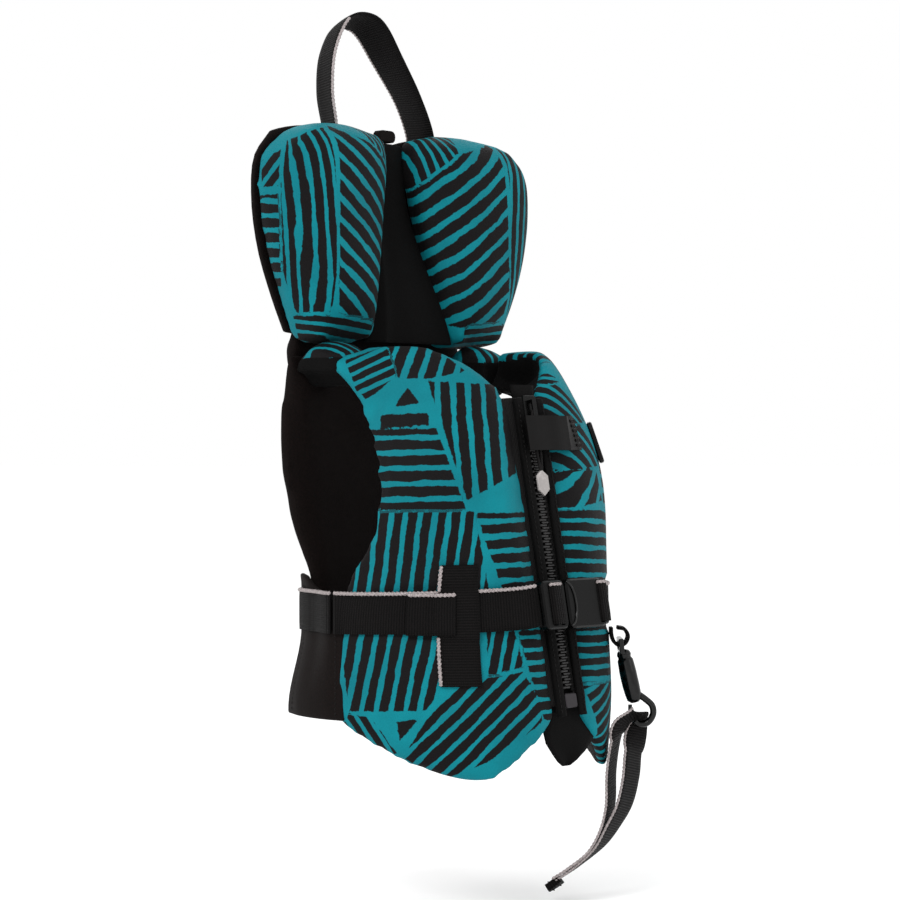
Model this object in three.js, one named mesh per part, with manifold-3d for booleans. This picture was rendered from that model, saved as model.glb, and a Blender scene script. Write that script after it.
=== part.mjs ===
// Child's life jacket with a head collar, zipper, waist belt and leg strap.
// Millimetres, +Z up, the front faces -Y, the wearer's right is -X.
// The origin is on the torso axis, about level with the middle of the waist belt.
import * as THREE from 'three';
import { mergeVertices } from 'three/addons/utils/BufferGeometryUtils.js';
import Module from 'manifold-3d';

const wasm = await Module();
wasm.setup();

// Driving dimensions
const WEB = 25; // width of all webbing
const WEB_T = 1.4; // thickness of the webbing
const SKIN = 2.2; // thickness of the neoprene covers
const LINING = 1.6; // thickness of the linings
const GAP = 0.85; // clearance between neighbouring layers
const FRONT_EDGE = 11; // thickness of a front panel at its edges
const FRONT_SWELL = 20; // extra thickness of a front panel in its middle
const BACK_EDGE = 10;
const BACK_SWELL = 8;
const LOBE_BACK = 66; // y of the flat back of the collar pillows
const LOBE_EDGE = 15; // thickness of a collar pillow at its inner edge
const ZIP_TOP = [0, -58, 138];
const ZIP_BOTTOM = [0, -93, -50];
const TOOTH_PITCH = 3.4;
const TOOTH_W = 1.4;
const TEETH_FROM = -46; // along the zipper, from the belt's height
const TEETH_TO = 129;
const TAPE_HALF = 12.2;
const SLIDER_AT = 131; // middle of the slider along the zipper when closed
const BUCKLE_W = 5; // middle of the buckle along the zipper
const BELT_SIDE_Z = { right: 2.2, left: 3.8 }; // middle of the belt at each side seam

const group = new THREE.Group();
group.name = 'life_jacket';

const COLOURS = {
  print: [0x128084, 0.7, 0],
  neoprene: [0x14100f, 0.75, 0],
  lining: [0x0e0c0c, 0.85, 0],
  foam: [0xb9b4a8, 0.9, 0],
  webbing: [0x120e0e, 0.7, 0],
  plastic: [0x0c0b0b, 0.25, 0],
  tape: [0x151212, 0.85, 0],
  teeth: [0x1c191a, 0.4, 0],
  box_metal: [0x77757a, 0.4, 0.7],
  hook_metal: [0x1a1919, 0.2, 0.6],
  tag: [0xe6e0dc, 0.4, 0],
};

function add(name, geometry, colour) {
  const [hex, roughness, metalness] = COLOURS[colour];
  const material = new THREE.MeshStandardMaterial({ color: hex, roughness, metalness });
  material.name = colour;
  const mesh = new THREE.Mesh(geometry, material);
  mesh.name = name;
  group.add(mesh);
  return mesh;
}

const V = (a) => new THREE.Vector3(...a);
const mirror = (p, s) => [p[0] * s, p[1], p[2]];
const lerp = (a, b, t) => a + (b - a) * t;

// A closed solid from a triangle list, welded, without empty triangles, facing out
function closed(points, triangles) {
  const raw = new THREE.BufferGeometry();
  raw.setAttribute('position', new THREE.Float32BufferAttribute(points.flat(), 3));
  raw.setIndex(triangles.flat());
  const g = mergeVertices(raw, 1e-3);
  const index = [...g.index.array];
  const pos = g.attributes.position;
  const kept = [];
  let volume = 0;
  const a = new THREE.Vector3();
  const b = new THREE.Vector3();
  const c = new THREE.Vector3();
  for (let i = 0; i < index.length; i += 3) {
    const [p, q, r] = index.slice(i, i + 3);
    if (p === q || q === r || r === p) continue;
    kept.push([p, q, r]);
    a.fromBufferAttribute(pos, p);
    b.fromBufferAttribute(pos, q);
    c.fromBufferAttribute(pos, r);
    volume += a.dot(b.cross(c));
  }
  g.setIndex(kept.map((t) => (volume < 0 ? [t[0], t[2], t[1]] : t)).flat());
  return g;
}

// A closed sheet between two grids of points with the same rows and columns
function slab(front, back) {
  const rows = front.length;
  const cols = front[0].length;
  const points = [...front.flat(), ...back.flat()];
  const half = rows * cols;
  const at = (i, j) => i * cols + j;
  const triangles = [];
  const quad = (a, b, c, d) => triangles.push([a, b, c], [a, c, d]);
  for (let i = 0; i + 1 < rows; i++) {
    for (let j = 0; j + 1 < cols; j++) {
      const [a, b, c, d] = [at(i, j), at(i, j + 1), at(i + 1, j + 1), at(i + 1, j)];
      quad(a, b, c, d);
      quad(half + d, half + c, half + b, half + a);
    }
  }
  for (let i = 0; i + 1 < rows; i++) {
    quad(at(i + 1, 0), half + at(i + 1, 0), half + at(i, 0), at(i, 0));
    const [e, f] = [at(i, cols - 1), at(i + 1, cols - 1)];
    quad(e, half + e, half + f, f);
  }
  for (let j = 0; j + 1 < cols; j++) {
    quad(at(0, j), half + at(0, j), half + at(0, j + 1), at(0, j + 1));
    const [e, f] = [at(rows - 1, j + 1), at(rows - 1, j)];
    quad(e, half + e, half + f, f);
  }
  return closed(points, triangles);
}

function asManifold(geometry) {
  const g = geometry.clone();
  g.deleteAttribute('normal');
  g.deleteAttribute('uv');
  const m = mergeVertices(g, 1e-3);
  return new wasm.Manifold(
    new wasm.Mesh({
      numProp: 3,
      vertProperties: new Float32Array(m.attributes.position.array),
      triVerts: new Uint32Array(m.index.array),
    }),
  );
}

function fromManifold(solid) {
  const m = solid.getMesh();
  const g = new THREE.BufferGeometry();
  g.setAttribute('position', new THREE.Float32BufferAttribute([...m.vertProperties], 3));
  g.setIndex([...m.triVerts]);
  return g;
}

function cut(geometry, ...tools) {
  return fromManifold(tools.reduce((a, t) => a.subtract(asManifold(t)), asManifold(geometry)));
}

function join(geometry, ...more) {
  return fromManifold(more.reduce((a, t) => a.add(asManifold(t)), asManifold(geometry)));
}

function box(x0, x1, y0, y1, z0, z1) {
  const g = new THREE.BoxGeometry(x1 - x0, y1 - y0, z1 - z0);
  g.translate((x0 + x1) / 2, (y0 + y1) / 2, (z0 + z1) / 2);
  return g;
}

// A plate in x and z with rounded corners and a chamfer, standing from y0 to y1
function plate(x0, x1, z0, z1, y0, y1, radius, chamfer) {
  const r = radius;
  const e = chamfer;
  const s = new THREE.Shape();
  s.moveTo(x0 + e + r, z0 + e);
  s.lineTo(x1 - e - r, z0 + e);
  s.quadraticCurveTo(x1 - e, z0 + e, x1 - e, z0 + e + r);
  s.lineTo(x1 - e, z1 - e - r);
  s.quadraticCurveTo(x1 - e, z1 - e, x1 - e - r, z1 - e);
  s.lineTo(x0 + e + r, z1 - e);
  s.quadraticCurveTo(x0 + e, z1 - e, x0 + e, z1 - e - r);
  s.lineTo(x0 + e, z0 + e + r);
  s.quadraticCurveTo(x0 + e, z0 + e, x0 + e + r, z0 + e);
  const g = new THREE.ExtrudeGeometry(s, {
    depth: y1 - y0 - 2 * e,
    bevelEnabled: e > 0,
    bevelSize: e,
    bevelThickness: e,
    bevelSegments: 1,
    curveSegments: 3,
  });
  g.translate(0, 0, e);
  g.applyMatrix4(new THREE.Matrix4().set(1, 0, 0, 0, 0, 0, 1, y0, 0, 1, 0, 0, 0, 0, 0, 1));
  return welded(g);
}

// The same solid, welded and with its triangles facing out again
function welded(geometry) {
  const g = geometry.index ? geometry.toNonIndexed() : geometry;
  const pos = g.attributes.position;
  const points = [...Array(pos.count).keys()].map((i) => [pos.getX(i), pos.getY(i), pos.getZ(i)]);
  const triangles = [];
  for (let i = 0; i < pos.count; i += 3) triangles.push([i, i + 1, i + 2]);
  return closed(points, triangles);
}

// A round bar along a list of points
function bar(points, radius, sides = 8, steps = 24) {
  const path = new THREE.CatmullRomCurve3(points.map(V), false, 'centripetal');
  const s = new THREE.Shape();
  for (let i = 0; i < sides; i++) {
    const a = (2 * Math.PI * i) / sides;
    if (i === 0) s.moveTo(radius, 0);
    else s.lineTo(radius * Math.cos(a), radius * Math.sin(a));
  }
  const g = new THREE.ExtrudeGeometry(s, { steps, extrudePath: path, bevelEnabled: false });
  return welded(g);
}

// The zipper's own frame: x across, n outwards from the tape, w up along the chain
const zipUp = V(ZIP_TOP).sub(V(ZIP_BOTTOM)).normalize();
const zipOut = new THREE.Vector3(0, -zipUp.z, zipUp.y);
const zipZero = V(ZIP_BOTTOM).addScaledVector(zipUp, -ZIP_BOTTOM[2] / zipUp.z);
function zipPoint(x, n, w) {
  const p = zipZero.clone().addScaledVector(zipOut, n).addScaledVector(zipUp, w);
  return [x, p.y, p.z];
}
// Takes a solid drawn with y = -n and z = w to its place on the jacket
function onZip(geometry) {
  const m = new THREE.Matrix4().makeBasis(
    new THREE.Vector3(1, 0, 0),
    zipOut.clone().negate(),
    zipUp,
  );
  m.setPosition(zipZero);
  return geometry.applyMatrix4(m);
}

// Rails of a front panel on the +X side, bottom to top
const FRONT_RAILS = {
  middle: [
    [12.9, -94, -64], [12.9, -91.8, -40], [12.9, -86.8, -4], [12.9, -80.4, 36], [12.9, -73, 74],
    [12.9, -64, 108], [13.2, -55, 137], [25, -48, 153], [44, -26, 168], [55, 16, 168],
  ],
  inner: [
    [46, -97, -100], [54, -97, -54], [54, -93, -4], [52, -87, 32], [46, -80, 72],
    [42, -73, 110], [40, -61, 141], [47, -46, 160], [56, -23, 173], [64, 17, 171],
  ],
  outer: [
    [90, -66, -113], [98, -53, -56], [100, -50, -4], [101, -56, 26], [93, -61, 64],
    [84, -60, 100], [77, -52, 128], [73, -36, 149], [72, -15, 167], [76, 21, 168],
  ],
  side: [
    [103, 3, -66], [104, 3, -34], [104, 3, -4], [104, -3, 23], [104, -23, 50],
    [101, -27, 79], [94.5, -16, 110], [88, -1, 130], [84, 13, 148], [84, 25, 160],
  ],
};

function railSurface(rails, s) {
  const curves = [rails.middle, rails.inner, rails.outer, rails.side].map(
    (r) => new THREE.CatmullRomCurve3(r.map((p) => V(mirror(p, s))), false, 'centripetal'),
  );
  const point = (u, v) => {
    const [a, b, c, d] = curves.map((k) => k.getPoint(Math.min(1, Math.max(0, v))));
    const t = 1 - u;
    return a
      .multiplyScalar(t * t * t)
      .addScaledVector(b, 3 * t * t * u)
      .addScaledVector(c, 3 * t * u * u)
      .addScaledVector(d, u * u * u);
  };
  const normal = (u, v) => {
    const h = 0.004;
    const [u0, u1] = [Math.max(0, u - h), Math.min(1, u + h)];
    const [v0, v1] = [Math.max(0, v - h), Math.min(1, v + h)];
    const du = point(u1, v).sub(point(u0, v));
    const dv = point(u, v1).sub(point(u, v0));
    return du.cross(dv).multiplyScalar(s).normalize();
  };
  return { point, normal };
}

// Depth grids for one padded panel: cover, foam and lining under one surface
function paddedLayers(at, width, height, thick, nu, nv) {
  const us = [...Array(nu + 1).keys()].map((i) => i / nu);
  const vs = [...Array(nv + 1).keys()].map((j) => j / nv);
  const inset = (u, v, mm) => [
    lerp(mm / width(v), 1 - mm / width(v), u),
    lerp(mm / height, 1 - mm / height, v),
  ];
  const outer = [];
  const under = [];
  for (let i = -1; i <= nu + 1; i++) {
    const rowO = [];
    const rowU = [];
    for (let j = -1; j <= nv + 1; j++) {
      const u = us[Math.min(nu, Math.max(0, i))];
      const v = vs[Math.min(nv, Math.max(0, j))];
      const rim = i < 0 || j < 0 || i > nu || j > nv;
      const t = thick(u, v) - LINING - GAP;
      rowO.push(at(u, v, rim ? t : 0));
      const [iu, iv] = inset(u, v, SKIN);
      rowU.push(at(iu, iv, rim ? t : SKIN));
    }
    outer.push(rowO);
    under.push(rowU);
  }
  const grid = (mm, depth) =>
    us.map((u, i) =>
      vs.map((v, j) => {
        const rim = i === 0 || j === 0 || i === nu || j === nv;
        return at(...inset(u, v, rim ? mm : SKIN), depth(u, v));
      }),
    );
  const foamIn = SKIN + 2.3 * GAP;
  const foamRim = SKIN + 6 * GAP;
  return {
    cover: slab(outer, under),
    foam: slab(
      grid(foamRim, () => foamIn),
      grid(foamRim, (u, v) => thick(u, v) - LINING - 2 * GAP),
    ),
    lining: slab(
      grid(0.4, (u, v) => thick(u, v) - LINING),
      grid(0.4, (u, v) => thick(u, v)),
    ),
  };
}

const swell = (t, p) => 1 - Math.abs(2 * t - 1) ** p;

const frontThick = (u, v) => FRONT_EDGE + FRONT_SWELL * swell(u, 3) * swell(v, 5);

function frontPanel(side, s) {
  const { point, normal } = railSurface(FRONT_RAILS, s);
  const at = (u, v, d) => point(u, v).addScaledVector(normal(u, v), -d).toArray();
  const width = (v) => point(0, v).distanceTo(point(1, v)) * 1.15;
  const layers = paddedLayers(at, width, 300, frontThick, 10, 13);
  add(`front_cover_${side}`, layers.cover, 'print');
  add(`front_foam_${side}`, layers.foam, 'foam');
  add(`front_lining_${side}`, layers.lining, 'lining');
}

// The panel's surface at a given height: its v for a given u
function vAtHeight(surface, u, z) {
  let [low, high] = [0, 1];
  for (let k = 0; k < 30; k++) {
    const mid = (low + high) / 2;
    if (surface.point(u, mid).z < z) low = mid;
    else high = mid;
  }
  return (low + high) / 2;
}

// A sheet that lies on a front panel from u0 to u1 and z0 to z1, from n0 to n1 above it
function onPanel(s, u0, u1, z0, z1, n0, n1, cols, rows) {
  const surface = railSurface(FRONT_RAILS, s);
  const layer = (n) =>
    [...Array(cols + 1).keys()].map((i) => {
      const u = lerp(u0, u1, i / cols);
      return [...Array(rows + 1).keys()].map((j) => {
        const v = vAtHeight(surface, u, lerp(z0, z1, j / rows));
        return surface.point(u, v).addScaledVector(surface.normal(u, v), n).toArray();
      });
    });
  return slab(layer(n1), layer(n0));
}

// Back panel rails, right edge to left edge; the sheet's u runs across, v up
const BACK_RAILS = {
  middle: [[-88, 66, -64], [-84, 60, -2], [-88, 66, 60], [-90, 70, 115], [-84, 67, 162]],
  inner: [[-42, 84, -62], [-40, 81, -2], [-40, 84, 60], [-42, 88, 115], [-42, 80, 166]],
  outer: [[42, 84, -62], [40, 81, -2], [40, 84, 60], [42, 88, 115], [42, 80, 166]],
  side: [[88, 66, -64], [84, 60, -2], [88, 66, 60], [90, 70, 115], [84, 67, 162]],
};
const backThick = (u, v) => BACK_EDGE + BACK_SWELL * swell(u, 3) * swell(v, 5);

// The back's outer surface, with its normal pointing backwards
function backSurface() {
  const { point, normal } = railSurface(BACK_RAILS, 1);
  return { point, normal: (u, v) => normal(u, v).negate() };
}

function backPanel() {
  const { point, normal } = backSurface();
  const inwards = (u, v, d) => point(u, v).addScaledVector(normal(u, v), -d).toArray();
  const layers = paddedLayers(inwards, () => 185, 230, backThick, 10, 8);
  add('back_cover', layers.cover, 'neoprene');
  add('back_foam', layers.foam, 'foam');
  add('back_lining', layers.lining, 'lining');
}

// Side panel between a front panel and the back panel, below the armhole
const SIDE_PATH = [[104.8, 5], [105.4, 14], [103.4, 30], [98.6, 46], [91.4, 59.4]];
const SIDE_TOP = [11, 11.5, 14, 20, 31];
const SIDE_T = 5;

function sidePath(s) {
  return new THREE.CatmullRomCurve3(
    SIDE_PATH.map((p, i) => V([p[0] * s, p[1], SIDE_TOP[i]])),
    false,
    'centripetal',
  );
}

function sidePoint(s, t, n) {
  const c = sidePath(s);
  const p = c.getPoint(t);
  const d = c.getTangent(t).setZ(0).normalize();
  const out = new THREE.Vector3(d.y * s, -d.x * s, 0);
  return [p.x + out.x * n, p.y + out.y * n, p.z];
}

function sidePanel(side, s) {
  const layer = (n) =>
    [...Array(9).keys()].map((i) =>
      [...Array(5).keys()].map((j) => {
        const [x, y, top] = sidePoint(s, i / 8, n);
        return [x, y, lerp(-64, top, j / 4)];
      }),
    );
  add(`side_panel_${side}`, slab(layer(0), layer(-SIDE_T)), 'neoprene');
}

// Printed piece that carries a front panel's shoulder over to the back panel
function shoulder(side, s) {
  const rows = [[32, 167.5, 13], [39, 168.5, 13], [47, 168, 12], [55.5, 165, 10]];
  const layer = (low) =>
    rows.map(([y, z, t]) =>
      [...Array(5).keys()].map((i) => {
        const a = i / 4;
        const x = lerp(57, 83, a);
        const arch = 2.5 * swell(a, 2) - 3 * a;
        return [x * s, y, z + arch - (low ? t : 0)];
      }),
    );
  add(`shoulder_${side}`, slab(layer(false), layer(true)), 'print');
}

// Collar pillow rails on the +X side, bottom to top, as x and z
const LOBE_RAILS = {
  middle: [[43, 178], [38, 197], [30, 224], [22, 256], [16, 288], [16, 303]],
  inner: [[56, 176], [56, 196], [52, 224], [46, 258], [42, 292], [40, 311]],
  outer: [[72, 176], [81, 196], [89, 224], [94, 258], [88, 292], [73, 312]],
  side: [[85, 178], [96, 200], [108, 230], [113.5, 262], [111, 288], [97, 303]],
};

function lobeSurface(s) {
  const flat = {};
  for (const [k, r] of Object.entries(LOBE_RAILS)) flat[k] = r.map(([x, z]) => [x, 0, z]);
  const { point } = railSurface(flat, s);
  return (u, v, d) => {
    const p = point(u, v);
    const y = LOBE_BACK - lobeThick(u, v) + d;
    return [p.x, y, p.z];
  };
}
const lobeThick = (u, v) =>
  LOBE_EDGE + 11 * u * u + (21 - 6 * u) * swell(u, 2.6) * swell(v, 4) ** 0.8;

function collarLobe(side, s) {
  const layers = paddedLayers(lobeSurface(s), (v) => lerp(42, 84, v), 135, lobeThick, 8, 9);
  add(`collar_cover_${side}`, layers.cover, 'print');
  add(`collar_foam_${side}`, layers.foam, 'foam');
  add(`collar_pillow_back_${side}`, layers.lining, 'lining');
}

// Thin black backing behind a pillow, a little wider than it
function collarBacking(side, s) {
  const rim = { middle: [], inner: [], outer: [], side: [] };
  for (const [k, r] of Object.entries(LOBE_RAILS)) {
    rim[k] = r.map(([x, z], i) => {
      const wide = k === 'side' ? 2.5 : 0;
      return [x + wide, 0, z + (i === r.length - 1 ? 2.2 : 0)];
    });
  }
  const { point } = railSurface(rim, s);
  const layer = (y) =>
    [...Array(9).keys()].map((i) =>
      [...Array(10).keys()].map((j) => {
        const p = point(i / 8, j / 9);
        return [p.x, y, p.z];
      }),
    );
  add(`collar_backing_${side}`, slab(layer(66.4), layer(69.4)), 'neoprene');
}

// Recessed black centre panel between the pillows, narrow at the top
function collarCentre() {
  const rows = [[178, 42], [197, 37], [224, 29], [256, 21], [288, 15], [304, 14]];
  const layer = (y) =>
    rows.map(([z, x]) => [-1, -0.5, 0, 0.5, 1].map((t) => [t * x, y + 3 * (1 - t * t), z]));
  add('collar_centre', slab(layer(58), layer(66)), 'neoprene');
  const bump = plate(-8, 8, 305, 313, 60, 67, 3, 1);
  add('collar_top_binding', bump, 'neoprene');
}

// Neck band that carries the collar from the back panel
function neckBand() {
  const layer = (y) =>
    [...Array(9).keys()].map((i) => {
      const x = lerp(-80, 80, i / 8);
      const bow = 9 * (1 - (x / 80) ** 2);
      return [[x, y + bow * 0.25, 168.5], [x, y, 177]];
    });
  add('neck_band', slab(layer(69.8), layer(73.2)), 'neoprene');
}

// Twisted loop of webbing above the collar
function grabHandle() {
  const path = new THREE.CatmullRomCurve3(
    [[-43, 72, 316], [-45.5, 73, 336], [-43, 73.5, 362], [-30, 72, 382], [-12, 71, 383],
      [8, 70, 363], [28, 70, 340], [42.5, 71, 316]].map(V),
    false,
    'centripetal',
  );
  const n = 30;
  const outer = [];
  const inner = [];
  for (let i = 0; i <= n; i++) {
    const t = i / n;
    const p = path.getPoint(t);
    const d = path.getTangent(t);
    const side = new THREE.Vector3(0, 1, 0).cross(d).normalize();
    const turn = -0.47 * Math.cos((Math.PI / 2) * Math.min(1, t / 0.8));
    const wide = d.clone().cross(side).normalize();
    const across = wide.clone().applyAxisAngle(d, turn);
    const flat = side.clone().applyAxisAngle(d, turn);
    const row = (m) =>
      [-0.5, 0.5].map((e) =>
        p.clone().addScaledVector(across, e * WEB).addScaledVector(flat, m).toArray(),
      );
    outer.push(row(WEB_T / 2));
    inner.push(row(-WEB_T / 2));
  }
  add('grab_handle', slab(outer, inner), 'webbing');
}

// One row of moulded teeth on its bead; phase moves it by half a pitch
function teeth(side, s, phase) {
  const shape = new THREE.Shape();
  const start = TEETH_FROM + phase * TOOTH_PITCH;
  shape.moveTo(4.6, TEETH_FROM - 2);
  shape.lineTo(2.2, TEETH_FROM - 2);
  for (let w = start; w + TOOTH_W < TEETH_TO; w += TOOTH_PITCH) {
    shape.lineTo(2.2, w);
    shape.lineTo(-1.8, w + 0.15);
    shape.lineTo(-1.8, w + TOOTH_W - 0.15);
    shape.lineTo(2.2, w + TOOTH_W);
  }
  shape.lineTo(2.2, TEETH_TO);
  shape.lineTo(4.6, TEETH_TO);
  const g = new THREE.ExtrudeGeometry(shape, { depth: 2.8, bevelEnabled: false });
  g.applyMatrix4(new THREE.Matrix4().set(s, 0, 0, 0, 0, 0, -1, 1.4, 0, 1, 0, 0, 0, 0, 0, 1));
  add(`zip_teeth_${side}`, onZip(welded(g)), 'teeth');
}

function zipStrip(name, s, x0, x1, n0, n1, w0, w1, colour) {
  const [a, b] = s > 0 ? [x0, x1] : [-x1, -x0];
  add(name, onZip(box(a, b, -n1, -n0, w0, w1)), colour);
}

function zipper() {
  teeth('right', -1, 0);
  teeth('left', 1, 0.5);
  for (const [side, s] of [['right', -1], ['left', 1]]) {
    zipStrip(`zip_tape_${side}`, s, 4.95, TAPE_HALF, -0.5, 0.5, -56, 139, 'tape');
    zipStrip(`zip_flap_${side}`, s, 6.9, 12.4, 1.0, 2.4, -62, 136, 'tape');
  }
  const underlay = new THREE.Shape();
  underlay.moveTo(-8.5, 139);
  underlay.lineTo(12, 139);
  underlay.lineTo(12, -62);
  underlay.lineTo(1.5, -84);
  underlay.lineTo(-8.5, -62);
  const g = new THREE.ExtrudeGeometry(underlay, { depth: 1.5, bevelEnabled: false });
  g.applyMatrix4(new THREE.Matrix4().set(1, 0, 0, 0, 0, 0, -1, 6.5, 0, 1, 0, 0, 0, 0, 0, 1));
  add('zip_underlay', onZip(welded(g)), 'lining');
  const bottom = cut(
    plate(-5.4, 5.4, -58, -49, -3.0, 3.0, 1, 0.6),
    box(-7, -4.5, -0.9, 0.9, -60, -47),
    box(4.5, 7, -0.9, 0.9, -60, -47),
  );
  add('zip_bottom_box', onZip(bottom), 'box_metal');
}

// Slider: two plates joined by a post above the last teeth, with a crown for the pull
function slider() {
  const [w0, w1] = [SLIDER_AT - 8, SLIDER_AT + 8];
  const front = plate(-6.4, 6.4, w0, w1, -3.5, -1.9, 2, 0.3);
  const back = plate(-6.4, 6.4, w0, w1, 1.9, 3.5, 2, 0.3);
  const post = box(-1.2, 1.2, -2.3, 2.3, TEETH_TO + 1.2, w1 - 2);
  const crown = cut(
    box(-1.5, 1.5, -6.4, -3.3, w0 + 2.6, w1 - 3),
    box(-2, 2, -5.3, -3.5, w0 + 4.2, w1 - 5),
  );
  add('zip_slider', onZip(join(front, back, post, crown)), 'hook_metal');
}

// Pull: a ring through the crown, a cord under the chest tab and a plain tag
function pull() {
  const top = SLIDER_AT - 2.2;
  const cord = box(-4.2, 4.2, -4.95, -3.85, top - 1.1, top + 1.1);
  const legs = [-1, 1].map((s) =>
    box(s > 0 ? 2.4 : -4.2, s > 0 ? 4.2 : -2.4, -4.95, -3.85, top - 38, top + 0.6),
  );
  const tag = plate(-5.5, 5.5, top - 54, top - 37, -5.4, -3.6, 3, 0.4);
  add('zip_pull', onZip(join(cord, ...legs, tag)), 'tag');
}

// Smooth strap across the zipper, sewn on the wearer's left panel
function chestTab() {
  const path = [[-13.5, 8.1], [-6, 8.4], [6, 8.4], [16, 8.6], [26, 8.0]];
  const curve = new THREE.CatmullRomCurve3(path.map(([x, n]) => V([x, -n, 0])));
  const layer = (out) =>
    [...Array(15).keys()].map((i) => {
      const p = curve.getPoint(i / 14);
      return [[p.x, p.y - out, 103], [p.x, p.y - out, 125]];
    });
  add('chest_tab', onZip(slab(layer(WEB_T), layer(0))), 'webbing');
}

// Buckle, drawn in the zipper's frame with its back 10 mm above the tape
const BUCKLE_N = [10, 19];

function buckle() {
  const [n0, n1] = BUCKLE_N;
  const female = cut(
    plate(-9, 27, -15.4, 15.4, -n1, -n0, 4, 1.2),
    box(-12, 17, -n1 + 2, -n0 - 2, -11, 11),
    box(20, 23.4, -n1 - 1, -n0 + 1, -13, 13),
    box(-2, 9, -n1 + 2.2, -n0 - 2.2, -20, -10.5),
    box(-2, 9, -n1 + 2.2, -n0 - 2.2, 10.5, 20),
  );
  add('buckle_female', onZip(female.translate(0, 0, BUCKLE_W)), 'plastic');
  const male = cut(
    plate(-31, -9.6, -15, 15, -n1 + 1, -n0 - 1, 3, 1),
    box(-24.6, -20.6, -n1 - 1, -n0 + 1, -13, 13),
    box(-17.4, -14, -n1 - 1, -n0 + 1, -13, 13),
  );
  add('buckle_male', onZip(male.translate(0, 0, BUCKLE_W)), 'plastic');
  const arm = (s) => {
    const [a, b] = s > 0 ? [6.6, 9.8] : [-9.8, -6.6];
    return box(-9.2, 14, -n1 + 2.6, -n0 - 2.6, a, b);
  };
  const stem = box(-9.2, -6.4, -n1 + 2.6, -n0 - 2.6, -9.8, 9.8);
  const guide = box(-9.2, 10, -n1 + 2.6, -n0 - 2.6, -1.6, 1.6);
  const prongs = join(stem, arm(1), arm(-1), guide).translate(0, 0, BUCKLE_W);
  add('buckle_prongs', onZip(prongs), 'plastic');
}

// Belt on each front panel, from the buckle to the side seam
function frontBelt(side, s) {
  const surface = railSurface(FRONT_RAILS, s);
  const half = WEB / 2;
  const from = 0.19;
  const cols = 16;
  const start = s > 0 ? 27.8 : -31.8;
  const layer = (n) => {
    const rows = [];
    const edges = [-half, 0, half];
    rows.push(edges.map((w) => zipPoint(start, BUCKLE_N[0] + 3.4 + n, BUCKLE_W + w)));
    for (let i = 0; i <= cols; i++) {
      const u = lerp(from, 0.985, i / cols);
      rows.push(
        edges.map((edge) => {
          const z = edge + lerp(BUCKLE_W, BELT_SIDE_Z[side], i / cols);
          const v = vAtHeight(surface, u, z);
          const lift = 1 + n + 6 * Math.max(0, 1 - (u - from) / 0.1);
          return surface.point(u, v).addScaledVector(surface.normal(u, v), lift).toArray();
        }),
      );
    }
    return rows;
  };
  add(`belt_front_${side}`, slab(layer(WEB_T), layer(0)), 'webbing');
}

function keepers() {
  const [n0, n1] = [2.9, 2.9 + WEB_T];
  const [z0, z1] = [2.6 - WEB / 2, 2.6 + WEB / 2];
  add('belt_keeper', onPanel(-1, 0.43, 0.57, -41, 33, n0, n1, 3, 8), 'webbing');
  add('belt_overlap', onPanel(-1, 0.585, 0.7, z0, z1, n0, n1, 4, 2), 'webbing');
}

// Belt round the side panels and the back
function backBelt() {
  const back = backSurface();
  const layer = (n) => {
    const rows = [];
    const sides = [0.05, 0.25, 0.45, 0.65, 0.85, 0.99];
    for (const t of sides) {
      const [x, y] = sidePoint(-1, t, 1.2 + n);
      rows.push([-1, 0, 1].map((k) => [x, y, BELT_SIDE_Z.right + (k * WEB) / 2]));
    }
    for (let i = 0; i <= 12; i++) {
      const u = lerp(0.02, 0.98, i / 12);
      rows.push(
        [-1, 0, 1].map((k) => {
          const z = lerp(BELT_SIDE_Z.right, BELT_SIDE_Z.left, u) + (k * WEB) / 2;
          const v = vAtHeight(back, u, z);
          return back.point(u, v).addScaledVector(back.normal(u, v), 1.4 + n).toArray();
        }),
      );
    }
    for (const t of [...sides].reverse()) {
      const [x, y] = sidePoint(1, t, 1.2 + n);
      rows.push([-1, 0, 1].map((k) => [x, y, BELT_SIDE_Z.left + (k * WEB) / 2]));
    }
    return rows;
  };
  add('belt_back', slab(layer(WEB_T), layer(0)), 'webbing');
}

// A flat moulded tab standing on the wearer's left chest
function lashTab() {
  const surface = railSurface(FRONT_RAILS, 1);
  const u = 0.66;
  const v = vAtHeight(surface, u, 107);
  const p = surface.point(u, v);
  const n = surface.normal(u, v);
  const up = new THREE.Vector3(0, 0, 1).addScaledVector(n, -n.z).normalize();
  const across = up.clone().cross(n).normalize();
  const g = cut(
    plate(-7, 7, -14, 14, -4.4, -1.2, 4, 0.8),
    box(-1.6, 1.6, -9, 9, -9, -3),
    box(-1.6, 1.6, -9, 9, 3, 9),
  );
  const m = new THREE.Matrix4().makeBasis(across, n.clone().negate(), up).setPosition(p);
  add('lash_tab', g.applyMatrix4(m), 'plastic');
}

// The leg strap hangs in a plane that faces the wearer's left front
const HANG = { along: new THREE.Vector3(0.669, -0.743, 0), out: new THREE.Vector3(0.743, 0.669, 0) };
const HOOK_L = 3.4; // keeps the hook clear of the panel beside it
const HOOK_D = -22; // the hook hangs this far from the plane, towards the front
function hang(l, z, d = 0) {
  const p = HANG.along.clone().multiplyScalar(l + HOOK_L).addScaledVector(HANG.out, 13.4 + d);
  return [p.x, p.y, z];
}

function turned(lean, l, z) {
  const up = new THREE.Vector3(0, 0, Math.cos(lean)).addScaledVector(HANG.along, -Math.sin(lean));
  const side = HANG.along.clone().multiplyScalar(Math.cos(lean));
  side.z = Math.sin(lean);
  return new THREE.Matrix4().makeBasis(side, HANG.out, up).setPosition(V(hang(l, z, HOOK_D)));
}

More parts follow.
